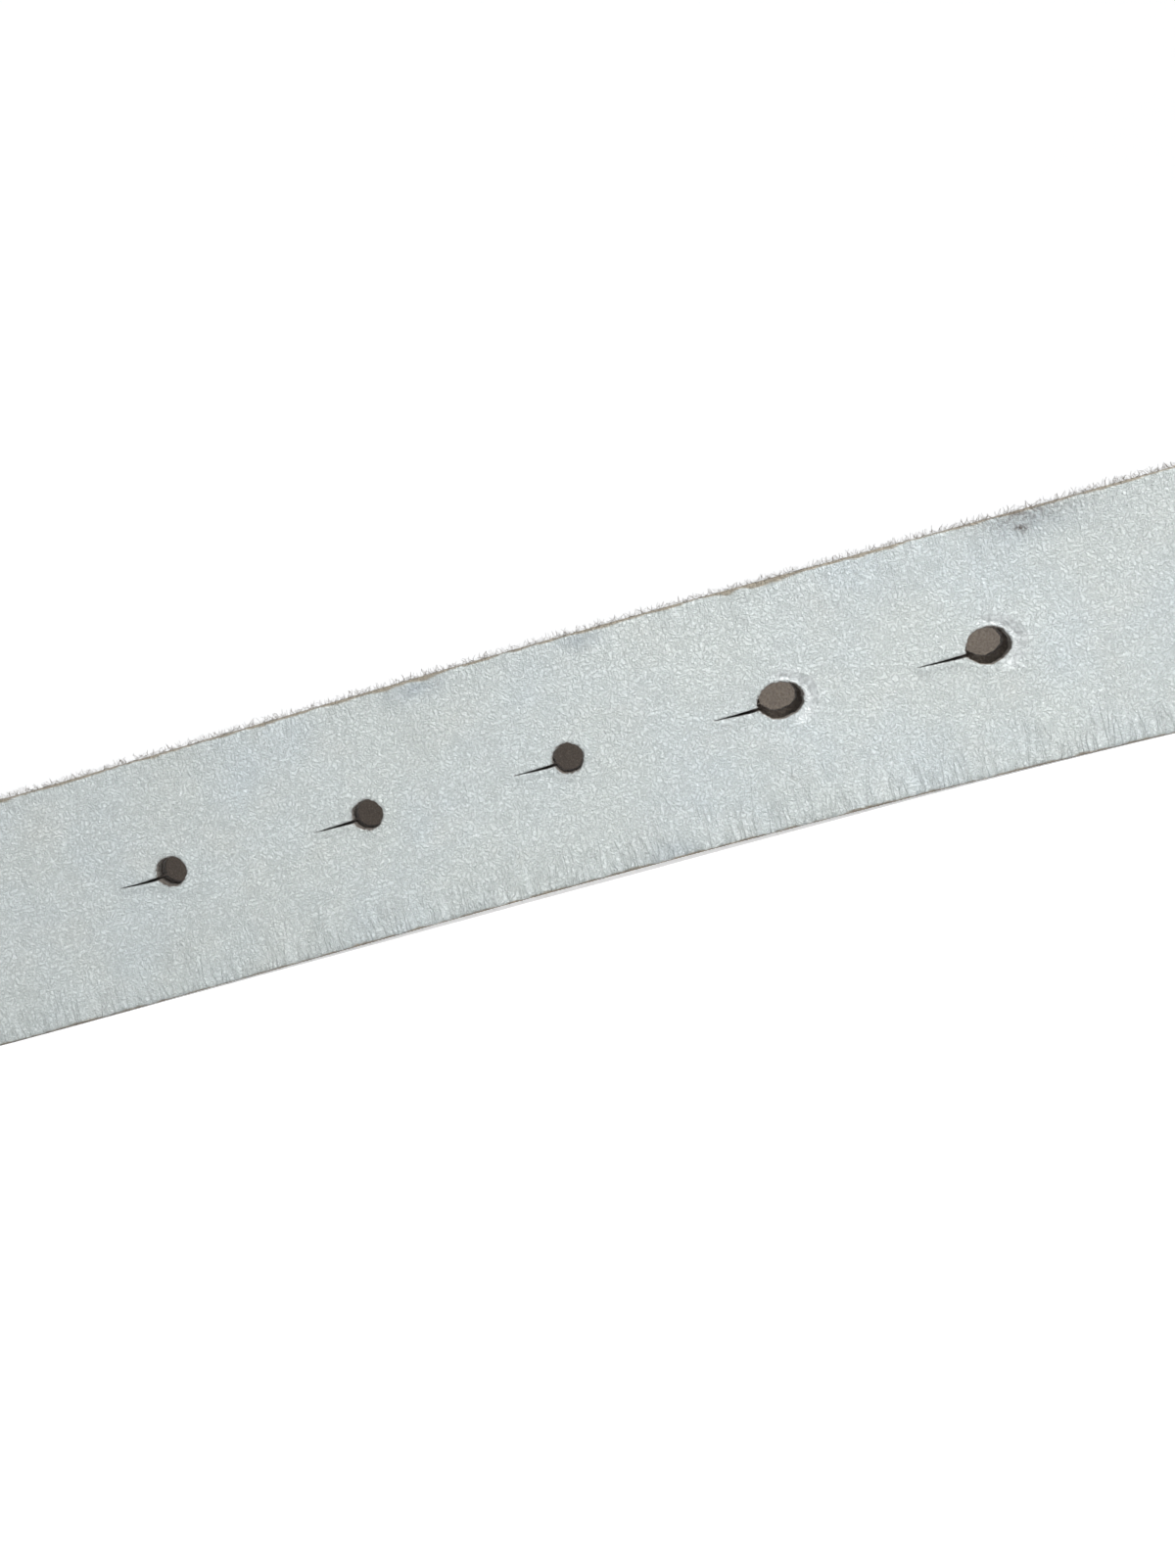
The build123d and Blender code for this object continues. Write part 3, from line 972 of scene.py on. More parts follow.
def leather_grain_group() -> bpy.types.NodeTree:
    """Pores and fine wrinkles of leather, for every leather's bump and for the painted shade along the
    coat's wrinkle lines.

    Returns:
        The group, with Height and Lines.
    """
    tree, pen, given, result = new_tree(
        "leather_grain",
        "ShaderNodeTree",
        (("Place", "Vector", None), ("Pore Size", "Float", 0.0006), ("Wrinkles", "Float", 0.5)),
        (("Height", "Float"), ("Lines", "Float")),
    )
    scale = pen.math("DIVIDE", 1.0, given.outputs["Pore Size"])
    pores = pen.add("ShaderNodeTexVoronoi", {"Vector": given.outputs["Place"], "Scale": scale})
    cell = pen.span(pores.outputs["Distance"], 0.1, 0.6)
    place = given.outputs["Place"]
    wrinkle = pen.add("ShaderNodeTexNoise", {"Vector": place, "Scale": 1500.0, "Detail": 4.0})
    folds = pen.math("ABSOLUTE", pen.math("SUBTRACT", wrinkle.outputs["Fac"], 0.5))
    folds = pen.span(folds, 0.0, 0.08)
    height = pen.math("MULTIPLY", folds, given.outputs["Wrinkles"])
    height = pen.math("ADD", height, pen.math("MULTIPLY", cell, 0.5))
    pen.tree.links.new(height, result.inputs["Height"])
    pen.tree.links.new(pen.math("SUBTRACT", 1.0, folds), result.inputs["Lines"])
    return tree


def handling_group() -> bpy.types.NodeTree:
    """Dust and fine rub marks that handling leaves on every surface.

    Returns:
        The group, with Dust and Rubs.
    """
    tree, pen, given, result = new_tree(
        "handling_marks",
        "ShaderNodeTree",
        (("Place", "Vector", None), ("Amount", "Float", 0.5)),
        (("Dust", "Float"), ("Rubs", "Float")),
    )
    place = given.outputs["Place"]
    cloud = pen.noise(place, 0.006, 5.0)
    dust = pen.math("MULTIPLY", pen.span(cloud, 0.45, 0.75), given.outputs["Amount"])
    turned = {"Vector": place, "Scale": (1.0, 14.0, 9.0), "Rotation": (0, 0, 0.3)}
    stretched = pen.add("ShaderNodeMapping", turned)
    rubs = pen.noise(stretched.outputs[0], 0.004, 3.0)
    rubs = pen.math("MULTIPLY", pen.span(rubs, 0.55, 0.8), given.outputs["Amount"])
    pen.tree.links.new(dust, result.inputs["Dust"])
    pen.tree.links.new(rubs, result.inputs["Rubs"])
    return tree


def new_material(name: str) -> tuple:
    """A material with its shader, ready for its own nodes.

    Args:
        name: The material's name.

    Returns:
        The material, its pen and its Principled shader.
    """
    material = bpy.data.materials.new(name)
    material.use_nodes = True
    return material, Pen(material.node_tree), material.node_tree.nodes["Principled BSDF"]


@dataclass(frozen=True)
class PearlCoat:
    """The pearl-white coat on the face leather."""

    grey: tuple = (0.60, 0.64, 0.625, 1)
    blue: tuple = (0.54, 0.62, 0.69, 1)
    warm: tuple = (0.66, 0.66, 0.62, 1)
    leather: tuple = (0.17, 0.14, 0.10, 1)
    grime_and_shade: tuple = (0.075, 0.055, 0.042, 1)
    dye: tuple = (0.27, 0.32, 0.37, 1)
    roughness: float = 0.42

    def make(self, grain: bpy.types.NodeTree, marks: bpy.types.NodeTree) -> bpy.types.Material:
        """Builds the material.

        Args:
            grain: The leather grain group.
            marks: The handling marks group.

        Returns:
            The material.
        """
        material, pen, shader = new_material("pearl_coat")
        place = pen.stored("strap_place", "Vector")
        pores = pen.add("ShaderNodeGroup", {}, node_tree=grain)
        pen.tree.links.new(place, pores.inputs["Place"])
        pores.inputs["Pore Size"].default_value = 0.00042
        pores.inputs["Wrinkles"].default_value = 0.7
        handled = pen.add("ShaderNodeGroup", {}, node_tree=marks)
        pen.tree.links.new(place, handled.inputs["Place"])
        handled.inputs["Amount"].default_value = 0.5
        cloud = pen.noise(place, 0.02, 3.0)
        colour = pen.mix(pen.span(cloud, 0.42, 0.7, 0.0, 0.35), self.grey, self.blue)
        colour = pen.mix(pen.span(pen.noise(place, 0.009, 4.0), 0.5, 0.75, 0.0, 0.3), colour, self.warm)
        flakes = pen.add("ShaderNodeTexVoronoi", {"Vector": place, "Scale": 7500.0})
        flake = pen.add("ShaderNodeSeparateColor", {0: flakes.outputs["Color"]})
        glint = pen.span(flake.outputs[0], 0.86, 0.99)
        dull = pen.span(flake.outputs[1], 0.6, 1.0, 0.0, 0.16)
        # Painted glints: some pearl flakes are lightened in the base colour; the same flakes are made
        # smoother below.
        colour = pen.mix(pen.math("MULTIPLY", glint, 0.55), colour, (0.93, 0.96, 0.97, 1))
        colour = pen.mix(dull, colour, (0.36, 0.42, 0.44, 1))
        colour = pen.mix(pen.math("MULTIPLY", handled.outputs["Dust"], 0.25), colour, (0.5, 0.5, 0.46, 1))
        across = pen.add("ShaderNodeSeparateXYZ", {0: place}).outputs[1]
        edge = pen.math("MINIMUM", across, pen.math("SUBTRACT", STRAP.width * MM, across))
        reach = pen.span(pen.noise(place, 0.005, 1.0), 0.3, 0.7, 0.004, 0.013)
        near = pen.math("SUBTRACT", 1.0, pen.math("DIVIDE", edge, reach), True)
        near = pen.math("MULTIPLY", near, pen.span(across, 0.016, 0.019, 1.0, 0.45))
        drawn = pen.add("ShaderNodeMapping", {"Vector": place, "Scale": (1.0, 0.17, 1.0)})
        fine = {"Vector": drawn.outputs[0], "Scale": 800.0, "Detail": 3.0, "Distortion": 0.25}
        pleats = pen.add("ShaderNodeTexNoise", fine)
        crease = pen.math("ABSOLUTE", pen.math("SUBTRACT", pleats.outputs["Fac"], 0.5))
        crease = pen.math("MULTIPLY", pen.span(crease, 0.0, 0.05, 1.0, 0.0), near)
        ridge_highlight = pen.math("MULTIPLY", pen.span(pleats.outputs["Fac"], 0.55, 0.75), near)
        # Painted shade: the coat is darkened along its fine wrinkle lines, the valleys of the bump.
        lines = pen.math("MULTIPLY", pores.outputs["Lines"], 0.42)
        colour = pen.mix(lines, colour, (0.36, 0.40, 0.39, 1))
        # Painted shade: the coat is darkened in the pleat creases near its edges.
        colour = pen.mix(pen.math("MULTIPLY", crease, 0.34), colour, (0.30, 0.33, 0.32, 1))
        # Painted highlight: the coat is lightened on the crests of the pleats near its edges.
        colour = pen.mix(pen.math("MULTIPLY", ridge_highlight, 0.5), colour, (0.80, 0.84, 0.84, 1))
        colour = pen.mix(pen.stored("stain_and_shade"), colour, self.dye)
        # Painted highlight: the coat is lightened where the stud has polished it; the same mask lowers the
        # roughness below.
        colour = pen.mix(pen.math("MULTIPLY", pen.stored("polish_and_highlight"), 0.65), colour, (0.85, 0.88, 0.88, 1))
        raw = pen.mix(pen.noise(place, 0.0004, 4.0), self.leather, (0.42, 0.38, 0.30, 1))
        colour = pen.mix(pen.stored("bare"), colour, raw)
        # Dirt on some marks, and painted shade in the hole rims, hole walls and slits.
        grit = pen.span(pen.noise(place, 0.0006, 4.0), 0.4, 0.6, 0.25, 1.5)
        colour = pen.mix(pen.math("MULTIPLY", pen.stored("dirt"), grit, True), colour, self.grime_and_shade)
        pen.tree.links.new(colour, shader.inputs["Base Color"])
        rough = pen.math("ADD", self.roughness, pen.math("MULTIPLY", pen.stored("bare"), 0.4))
        rough = pen.math("SUBTRACT", rough, pen.math("MULTIPLY", glint, 0.16))
        rough = pen.math("SUBTRACT", rough, pen.math("MULTIPLY", pen.stored("polish_and_highlight"), 0.27), True)
        rough = pen.math("ADD", rough, pen.math("MULTIPLY", handled.outputs["Rubs"], 0.15), True)
        pen.tree.links.new(rough, shader.inputs["Roughness"])
        shader.inputs["Specular IOR Level"].default_value = 0.55
        shader.inputs["Sheen Weight"].default_value = 0.12
        facet = pen.math("MULTIPLY", flake.outputs[2], 0.35)
        height = pen.math("ADD", pores.outputs["Height"], facet)
        height = pen.math("SUBTRACT", height, pen.math("MULTIPLY", crease, 1.2))
        bump = pen.add("ShaderNodeBump", {"Height": height, "Strength": 0.9, "Distance": 0.0002})
        pen.tree.links.new(bump.outputs[0], shader.inputs["Normal"])
        return material


@dataclass(frozen=True)
class RawLeather:
    """Cut or split leather without a coat."""

    name: str
    dark: tuple
    light: tuple
    nap_size: float
    bump: float

    def make(self, grain: bpy.types.NodeTree) -> bpy.types.Material:
        """Builds the material.

        Args:
            grain: The leather grain group.

        Returns:
            The material.
        """
        material, pen, shader = new_material(self.name)
        place = pen.stored("strap_place", "Vector")
        pores = pen.add("ShaderNodeGroup", {}, node_tree=grain)
        pen.tree.links.new(place, pores.inputs["Place"])
        pores.inputs["Pore Size"].default_value = self.nap_size * 1.6
        pores.inputs["Wrinkles"].default_value = 1.0
        nap = pen.noise(place, self.nap_size, 5.0)
        colour = pen.mix(pen.span(nap, 0.3, 0.72), self.dark, self.light)
        colour = pen.mix(pen.span(pen.noise(place, 0.012, 3.0), 0.5, 0.8, 0, 0.45), colour, self.dark)
        # Stains, and painted shade on the lining inside the loop; the light crumbs below are dimmed there
        # too.
        colour = pen.mix(pen.math("MULTIPLY", pen.stored("stain_and_shade"), 0.93), colour, (0.045, 0.034, 0.026, 1))
        # Painted shade in the hole walls and slits, with some dirt, darkens the cut leather.
        colour = pen.mix(pen.math("MULTIPLY", pen.stored("dirt"), 0.88), colour, (0.04, 0.03, 0.022, 1))
        crumb = pen.span(pen.noise(place, 0.00035, 3.0), 0.58, 0.7, 0.0, 0.6)
        dimmed = pen.span(pen.stored("stain_and_shade"), 0.0, 1.0, 1.0, 0.6)
        colour = pen.mix(pen.math("MULTIPLY", crumb, dimmed), colour, self.light)
        pen.tree.links.new(colour, shader.inputs["Base Color"])
        rough = pen.span(nap, 0.2, 0.8, 0.95, 0.8)
        pen.tree.links.new(rough, shader.inputs["Roughness"])
        shader.inputs["Specular IOR Level"].default_value = 0.3
        shader.inputs["Sheen Weight"].default_value = 0.25
        height = pen.math("ADD", nap, pen.math("MULTIPLY", pores.outputs["Height"], 0.5))
        bump = pen.add("ShaderNodeBump", {"Height": height, "Strength": 0.9, "Distance": self.bump})
        pen.tree.links.new(bump.outputs[0], shader.inputs["Normal"])
        return material


@dataclass(frozen=True)
class WornMetal:
    """Satin or bright metal with fine scratches, dulled where it is handled."""

    name: str
    colour: tuple
    tarnish: tuple
    roughness: float
    brush: tuple

    def make(self, marks: bpy.types.NodeTree) -> bpy.types.Material:
        """Builds the material.

        Args:
            marks: The handling marks group.

        Returns:
            The material.
        """
        material, pen, shader = new_material(self.name)
        place = pen.add("ShaderNodeTexCoord").outputs["Object"]
        handled = pen.add("ShaderNodeGroup", {}, node_tree=marks)
        pen.tree.links.new(place, handled.inputs["Place"])
        handled.inputs["Amount"].default_value = 0.7
        drawn = pen.add("ShaderNodeMapping", {"Vector": place, "Scale": self.brush})
        lines = pen.noise(drawn.outputs[0], 0.0009, 3.0)
        cloud = pen.span(pen.noise(place, 0.004, 4.0), 0.5, 0.8, 0.0, 0.6)
        colour = pen.mix(cloud, self.colour, self.tarnish)
        colour = pen.mix(pen.math("MULTIPLY", handled.outputs["Dust"], 0.4), colour, (0.4, 0.38, 0.34, 1))
        pen.tree.links.new(colour, shader.inputs["Base Color"])
        shader.inputs["Metallic"].default_value = 1.0
        rough = pen.math("ADD", self.roughness, pen.math("MULTIPLY", handled.outputs["Rubs"], 0.2))
        rough = pen.math("ADD", rough, pen.math("MULTIPLY", lines, 0.12), True)
        pen.tree.links.new(rough, shader.inputs["Roughness"])
        bump = pen.add("ShaderNodeBump", {"Height": lines, "Strength": 0.35, "Distance": 0.00003})
        pen.tree.links.new(bump.outputs[0], shader.inputs["Normal"])
        return material


@dataclass
class Finishes:
    """Every material of the belt."""

    coat: bpy.types.Material
    raw: bpy.types.Material
    suede: bpy.types.Material
    suede_cut: bpy.types.Material
    nickel: bpy.types.Material
    steel: bpy.types.Material

    @classmethod
    def make(cls) -> "Finishes":
        """Builds the shared groups, then each finish.

        Returns:
            The finishes.
        """
        grain, marks = leather_grain_group(), handling_group()
        coat = PearlCoat()
        raw = RawLeather("raw_edge", (0.10, 0.078, 0.058, 1), (0.27, 0.23, 0.18, 1), 0.00025, 0.0002)
        suede = RawLeather("split_lining", (0.095, 0.078, 0.064, 1), (0.18, 0.15, 0.12, 1), 0.0007, 0.00025)
        cut = RawLeather("lining_edge", (0.075, 0.055, 0.043, 1), (0.18, 0.14, 0.11, 1), 0.0003, 0.0002)
        nickel = WornMetal("satin_nickel", (0.42, 0.415, 0.40, 1), (0.28, 0.27, 0.245, 1), 0.3, (1, 1, 26))
        steel = WornMetal("drawn_steel", (0.42, 0.42, 0.43, 1), (0.29, 0.285, 0.28, 1), 0.24, (8, 8, 8))
        leathers = [coat.make(grain, marks)] + [leather.make(grain) for leather in (raw, suede, cut)]
        return cls(*leathers, nickel.make(marks), steel.make(marks))


# ---------------------------------------------------------------- fibres along cut edges
@dataclass(frozen=True)
class Nap:
    """Loose fibres that stand out of cut leather."""

    density: float
    length: float
    thickness: float
    lean: float
    seed: int

    @staticmethod
    def tree() -> bpy.types.NodeTree:
        """Scatters bent, tapering fibres over a strip of cut edge.

        Returns:
            The geometry tree.
        """
        kinds = (
            ("Strip", "Geometry", None),
            ("Density", "Float", 1e6),
            ("Length", "Float", 0.0007),
            ("Thickness", "Float", 0.00003),
            ("Lean", "Float", 1.0),
            ("Seed", "Int", 1),
            ("Leather", "Material", None),
        )
        made = (("Fibres", "Geometry"),)
        tree, pen, given, result = new_tree("edge_fibres", "GeometryNodeTree", kinds, made)
        out = given.outputs
        spots = pen.add(
            "GeometryNodeDistributePointsOnFaces",
            {"Mesh": out["Strip"], "Density": out["Density"], "Seed": out["Seed"]},
        )
        length = out["Length"]
        middle = pen.add("ShaderNodeCombineXYZ", {0: 0.0, 2: pen.math("MULTIPLY", length, 0.6)})
        aside, above = pen.math("MULTIPLY", length, 0.5), pen.math("MULTIPLY", length, 0.85)
        end = pen.add("ShaderNodeCombineXYZ", {0: aside, 2: above})
        bow = pen.add(
            "GeometryNodeCurveQuadraticBezier",
            {"Resolution": 4, "Start": (0, 0, 0), "Middle": middle.outputs[0], "End": end.outputs[0]},
        )
        share = pen.add("GeometryNodeSplineParameter").outputs["Factor"]
        taper = pen.math("SUBTRACT", 1.0, pen.math("MULTIPLY", share, 0.85))
        bow = pen.add("GeometryNodeSetCurveRadius", {"Curve": bow.outputs[0], "Radius": taper})
        ring = pen.add("GeometryNodeCurvePrimitiveCircle", {"Resolution": 3, "Radius": out["Thickness"]})
        fibre = pen.add(
            "GeometryNodeCurveToMesh",
            {"Curve": bow.outputs[0], "Profile Curve": ring.outputs[0], "Fill Caps": True},
        )
        lean = out["Lean"]
        back = pen.math("MULTIPLY", lean, -1.0)
        least = pen.add("ShaderNodeCombineXYZ", {0: back, 1: back, 2: -3.1416})
        most = pen.add("ShaderNodeCombineXYZ", {0: lean, 1: lean, 2: 3.1416})
        tilt = pen.add("FunctionNodeRandomValue", data_type="FLOAT_VECTOR")
        pen.tree.links.new(least.outputs[0], tilt.inputs[0])
        pen.tree.links.new(most.outputs[0], tilt.inputs[1])
        pen.tree.links.new(out["Seed"], tilt.inputs["Seed"])
        turn = pen.add("FunctionNodeEulerToRotation", {0: tilt.outputs[0]})
        rotation = pen.add(
            "FunctionNodeRotateRotation",
            {"Rotation": spots.outputs["Rotation"], "Rotate By": turn.outputs[0]},
            rotation_space="LOCAL",
        )
        size = pen.add("FunctionNodeRandomValue", data_type="FLOAT")
        size.inputs[2].default_value, size.inputs[3].default_value = 0.3, 1.0
        pen.tree.links.new(out["Seed"], size.inputs["Seed"])
        placed = pen.add(
            "GeometryNodeInstanceOnPoints",
            {
                "Points": spots.outputs["Points"],
                "Instance": fibre.outputs[0],
                "Rotation": rotation.outputs[0],
                "Scale": size.outputs[1],
            },
        )
        real = pen.add("GeometryNodeRealizeInstances", {0: placed.outputs[0]})
        dress = {"Geometry": real.outputs[0], "Material": out["Leather"]}
        dressed = pen.add("GeometryNodeSetMaterial", dress)
        pen.tree.links.new(dressed.outputs[0], result.inputs[0])
        return tree

    def grow(
        self, name: str, strip: bpy.types.Mesh, tree: bpy.types.NodeTree, leather: bpy.types.Material
    ) -> bpy.types.Object:
        """Grows the fibres on a strip.

        Args:
            name: The object's name.
            strip: The strip of cut edge, facing outwards.
            tree: The fibre tree.
            leather: The fibres' material.

        Returns:
            The fibres as one plain mesh object.
        """
        sizes = {
            "Density": self.density,
            "Length": self.length * MM,
            "Thickness": self.thickness * MM,
            "Lean": self.lean,
            "Seed": self.seed,
            "Leather": leather,
        }
        return grown(name, strip, tree, sizes)


def grown(name: str, source: bpy.types.Mesh, tree: bpy.types.NodeTree, sizes: dict) -> bpy.types.Object:
    """Runs a geometry tree on a mesh and keeps its result as a plain mesh object.

    Args:
        name: The object's name.
        source: The mesh to start from.
        tree: The geometry tree.
        sizes: Value of each named input.

    Returns:
        The object.
    """
    obj = bpy.data.objects.new(name, source)
    bpy.context.scene.collection.objects.link(obj)
    modifier = obj.modifiers.new("shape", "NODES")
    modifier.node_group = tree
    for item in tree.interface.items_tree:
        if item.in_out == "INPUT" and item.name in sizes:
            modifier[item.identifier] = sizes[item.name]
    evaluated = obj.evaluated_get(bpy.context.evaluated_depsgraph_get())
    mesh = bpy.data.meshes.new_from_object(evaluated)
    obj.modifiers.clear()
    obj.data = mesh
    mesh.name = name
    return obj


# ---------------------------------------------------------------- the strap
@dataclass
class Stretch:
    """One visual length of a leather: where it runs, what it bends between and what it stands for."""

    label: str
    start: float
    end: float
    bodies: tuple
    bend: tuple
    nodes: tuple
    step: float = 1.0
    free_ends: tuple = (False, False)
    holes: tuple = ()


@dataclass
class Strap:
    """Both leathers of the strap with their worn edges."""

    path: StrapPath
    finishes: Finishes
    wear: FaceWear
    shoulder: float = 3.0
    hinge_reach: float = 13.0
    tip_seam: float = -92.0
    loop_seam: float = 97.0

    def edges(self, s: np.ndarray) -> tuple:
        """Lower and upper edge of the leather at each distance: the rounded tip and the narrow neck.

        Args:
            s: Distances along the strap.

        Returns:
            The lower edges and the upper edges.
        """
        corner = STRAP.tip_corner
        gap = np.clip(corner - (s - STRAP.tip_end), 0, corner)
        rounded = corner - np.sqrt(corner**2 - gap**2)
        first = STRAP.bar_place - STRAP.neck_length
        back = STRAP.fold_end - (STRAP.fold_return - STRAP.neck_length)
        narrow = ease(s, first - self.shoulder, first) * (1 - ease(s, back, back + self.shoulder))
        neck = STRAP.neck_step * narrow
        low = rounded + neck
        return low, STRAP.width - low

    def along(self, stretch: Stretch) -> np.ndarray:
        """Distances along a stretch, closer together at a cut end.

        Args:
            stretch: The stretch.

        Returns:
            The distances.
        """
        s = np.arange(stretch.start, stretch.end + 1e-6, stretch.step)
        if s[-1] < stretch.end - 1e-6:
            s = np.append(s, stretch.end)
        fine = np.array([0.05, 0.13, 0.24, 0.38, 0.55, 0.75])
        if stretch.free_ends[0]:
            s = np.concatenate([s[:1], s[0] + fine, s[1:]])
        if stretch.free_ends[1]:
            s = np.concatenate([s[:-1], s[-1] - fine[::-1], s[-1:]])
        return s

    def stretches(self, layer: Layer) -> list:
        """The lengths a leather is made in.

        Args:
            layer: Which leather.

        Returns:
            The stretches from the pointed end to the buckle.
        """
        name = layer.name
        tip, left, reach = -STRAP.front_right, STRAP.front_left, self.hinge_reach
        made = [
            Stretch(
                "tip", STRAP.tip_end, self.tip_seam, ("tip_1", "tip_2"),
                (self.tip_seam - 1, tip - STRAP.tip_stretch - reach), (f"{name}_tip_2",),
                free_ends=(True, False),
            ),
            Stretch(
                "front", self.tip_seam, self.loop_seam, ("hole_stretch", "tip_1"), (tip + 9.0, tip - reach),
                (f"{name}_holes", f"{name}_tip_1"), 0.5, holes=KEYHOLES,
            ),
            Stretch(
                "loop_1", self.loop_seam, left + STRAP.stretch / 2, ("hole_stretch", "loop_1"),
                (self.loop_seam + 0.5, self.loop_seam + 17.0), (f"{name}_1",),
            ),
        ]
        for number in range(2, STRAP.stretches + 1):
            middle = left + (number - 1) * STRAP.stretch
            made.append(
                Stretch(
                    f"loop_{number}", middle - STRAP.stretch / 2, middle + STRAP.stretch / 2,
                    (f"loop_{number - 1}", f"loop_{number}"), (middle - reach, middle + reach),
                    (f"{name}_{number}",),
                )
            )
        last = STRAP.end_start
        if layer is FACE:
            finish, node = STRAP.fold_end, f"{name}_fold"
        else:
            finish, node = STRAP.bar_place - STRAP.neck_length, f"{name}_end"
        made.append(
            Stretch(
                "end", last - STRAP.stretch / 2, finish, (f"loop_{STRAP.stretches}", "strap_end"),
                (last - 16.0, last + 9.0), (node,), free_ends=(False, True),
            )
        )
        return made

    def build(self) -> None:
        """Builds and dresses every stretch of both leathers."""
        for layer, outside, cut in (
            (FACE, self.finishes.coat, self.finishes.raw),
            (LINING, self.finishes.suede, self.finishes.suede_cut),
        ):
            for stretch in self.stretches(layer):
                s = self.along(stretch)
                low, high = self.edges(s)
                maker = LeatherMesh(self.path, self.wear, layer)
                label = f"{layer.name}_{stretch.label}_skin"
                piece = maker.build(label, s, low, high, stretch.free_ends, stretch.holes)
                piece.data.materials.append(outside)
                piece.data.materials.append(cut)
                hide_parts(*stretch.nodes)
                self.bend(piece, stretch)
                log.info("%s: %d faces", piece.name, len(piece.data.polygons))

    def bend(self, piece: bpy.types.Object, stretch: Stretch) -> None:
        """Bakes the piece's placement into its mesh; the two bend points are found but not used, so the
        piece does not bend.
        """
        start, end = (self.path.spot_on(place) for place in stretch.bend)
        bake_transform(piece)

    def edge_strip(self, side: Side, start: float, end: float) -> bpy.types.Mesh:
        """A strip over the cut edge of the face leather, facing away from the strap.

        Args:
            side: Which long edge.
            start: Where it starts along the strap.
            end: Where it ends.

        Returns:
            The strip.
        """
        s = np.arange(start, end, 1.0)
        height = STRAP.width - 0.1 if side is Side.TOP else 0.1
        rows = [self.path.place(s, height, depth) for depth in (0.35, 1.7)]
        points = np.concatenate(rows)
        count = len(s)
        faces = [(i, i + 1, count + i + 1, count + i) for i in range(count - 1)]
        if side is Side.TOP:
            faces = [face[::-1] for face in faces]
        strip = bpy.data.meshes.new("edge_strip")
        strip.from_pydata(points.tolist(), [], faces)
        strip.update()
        return strip

    def fray(self) -> None:
        """Grows loose fibres along the edges of the front stretch."""
        tree = Nap.tree()
        front = self.stretches(FACE)[1]
        for side, nap in (
            (Side.TOP, Nap(1.1e7, 1.25, 0.03, 1.2, 5)),
            (Side.BOTTOM, Nap(3.0e6, 0.6, 0.02, 1.2, 9)),
        ):
            strip = self.edge_strip(side, self.tip_seam + 1, self.loop_seam - 1)
            fibres = nap.grow(f"edge_fibres_{side.name.lower()}", strip, tree, self.finishes.raw)
            points = np.empty(len(fibres.data.vertices) * 3, np.float32)
            fibres.data.vertices.foreach_get("co", points)
            store(fibres.data, "strap_place", points.reshape(-1, 3))
            self.bend(fibres, front)
            log.info("%s: %d faces", fibres.name, len(fibres.data.polygons))


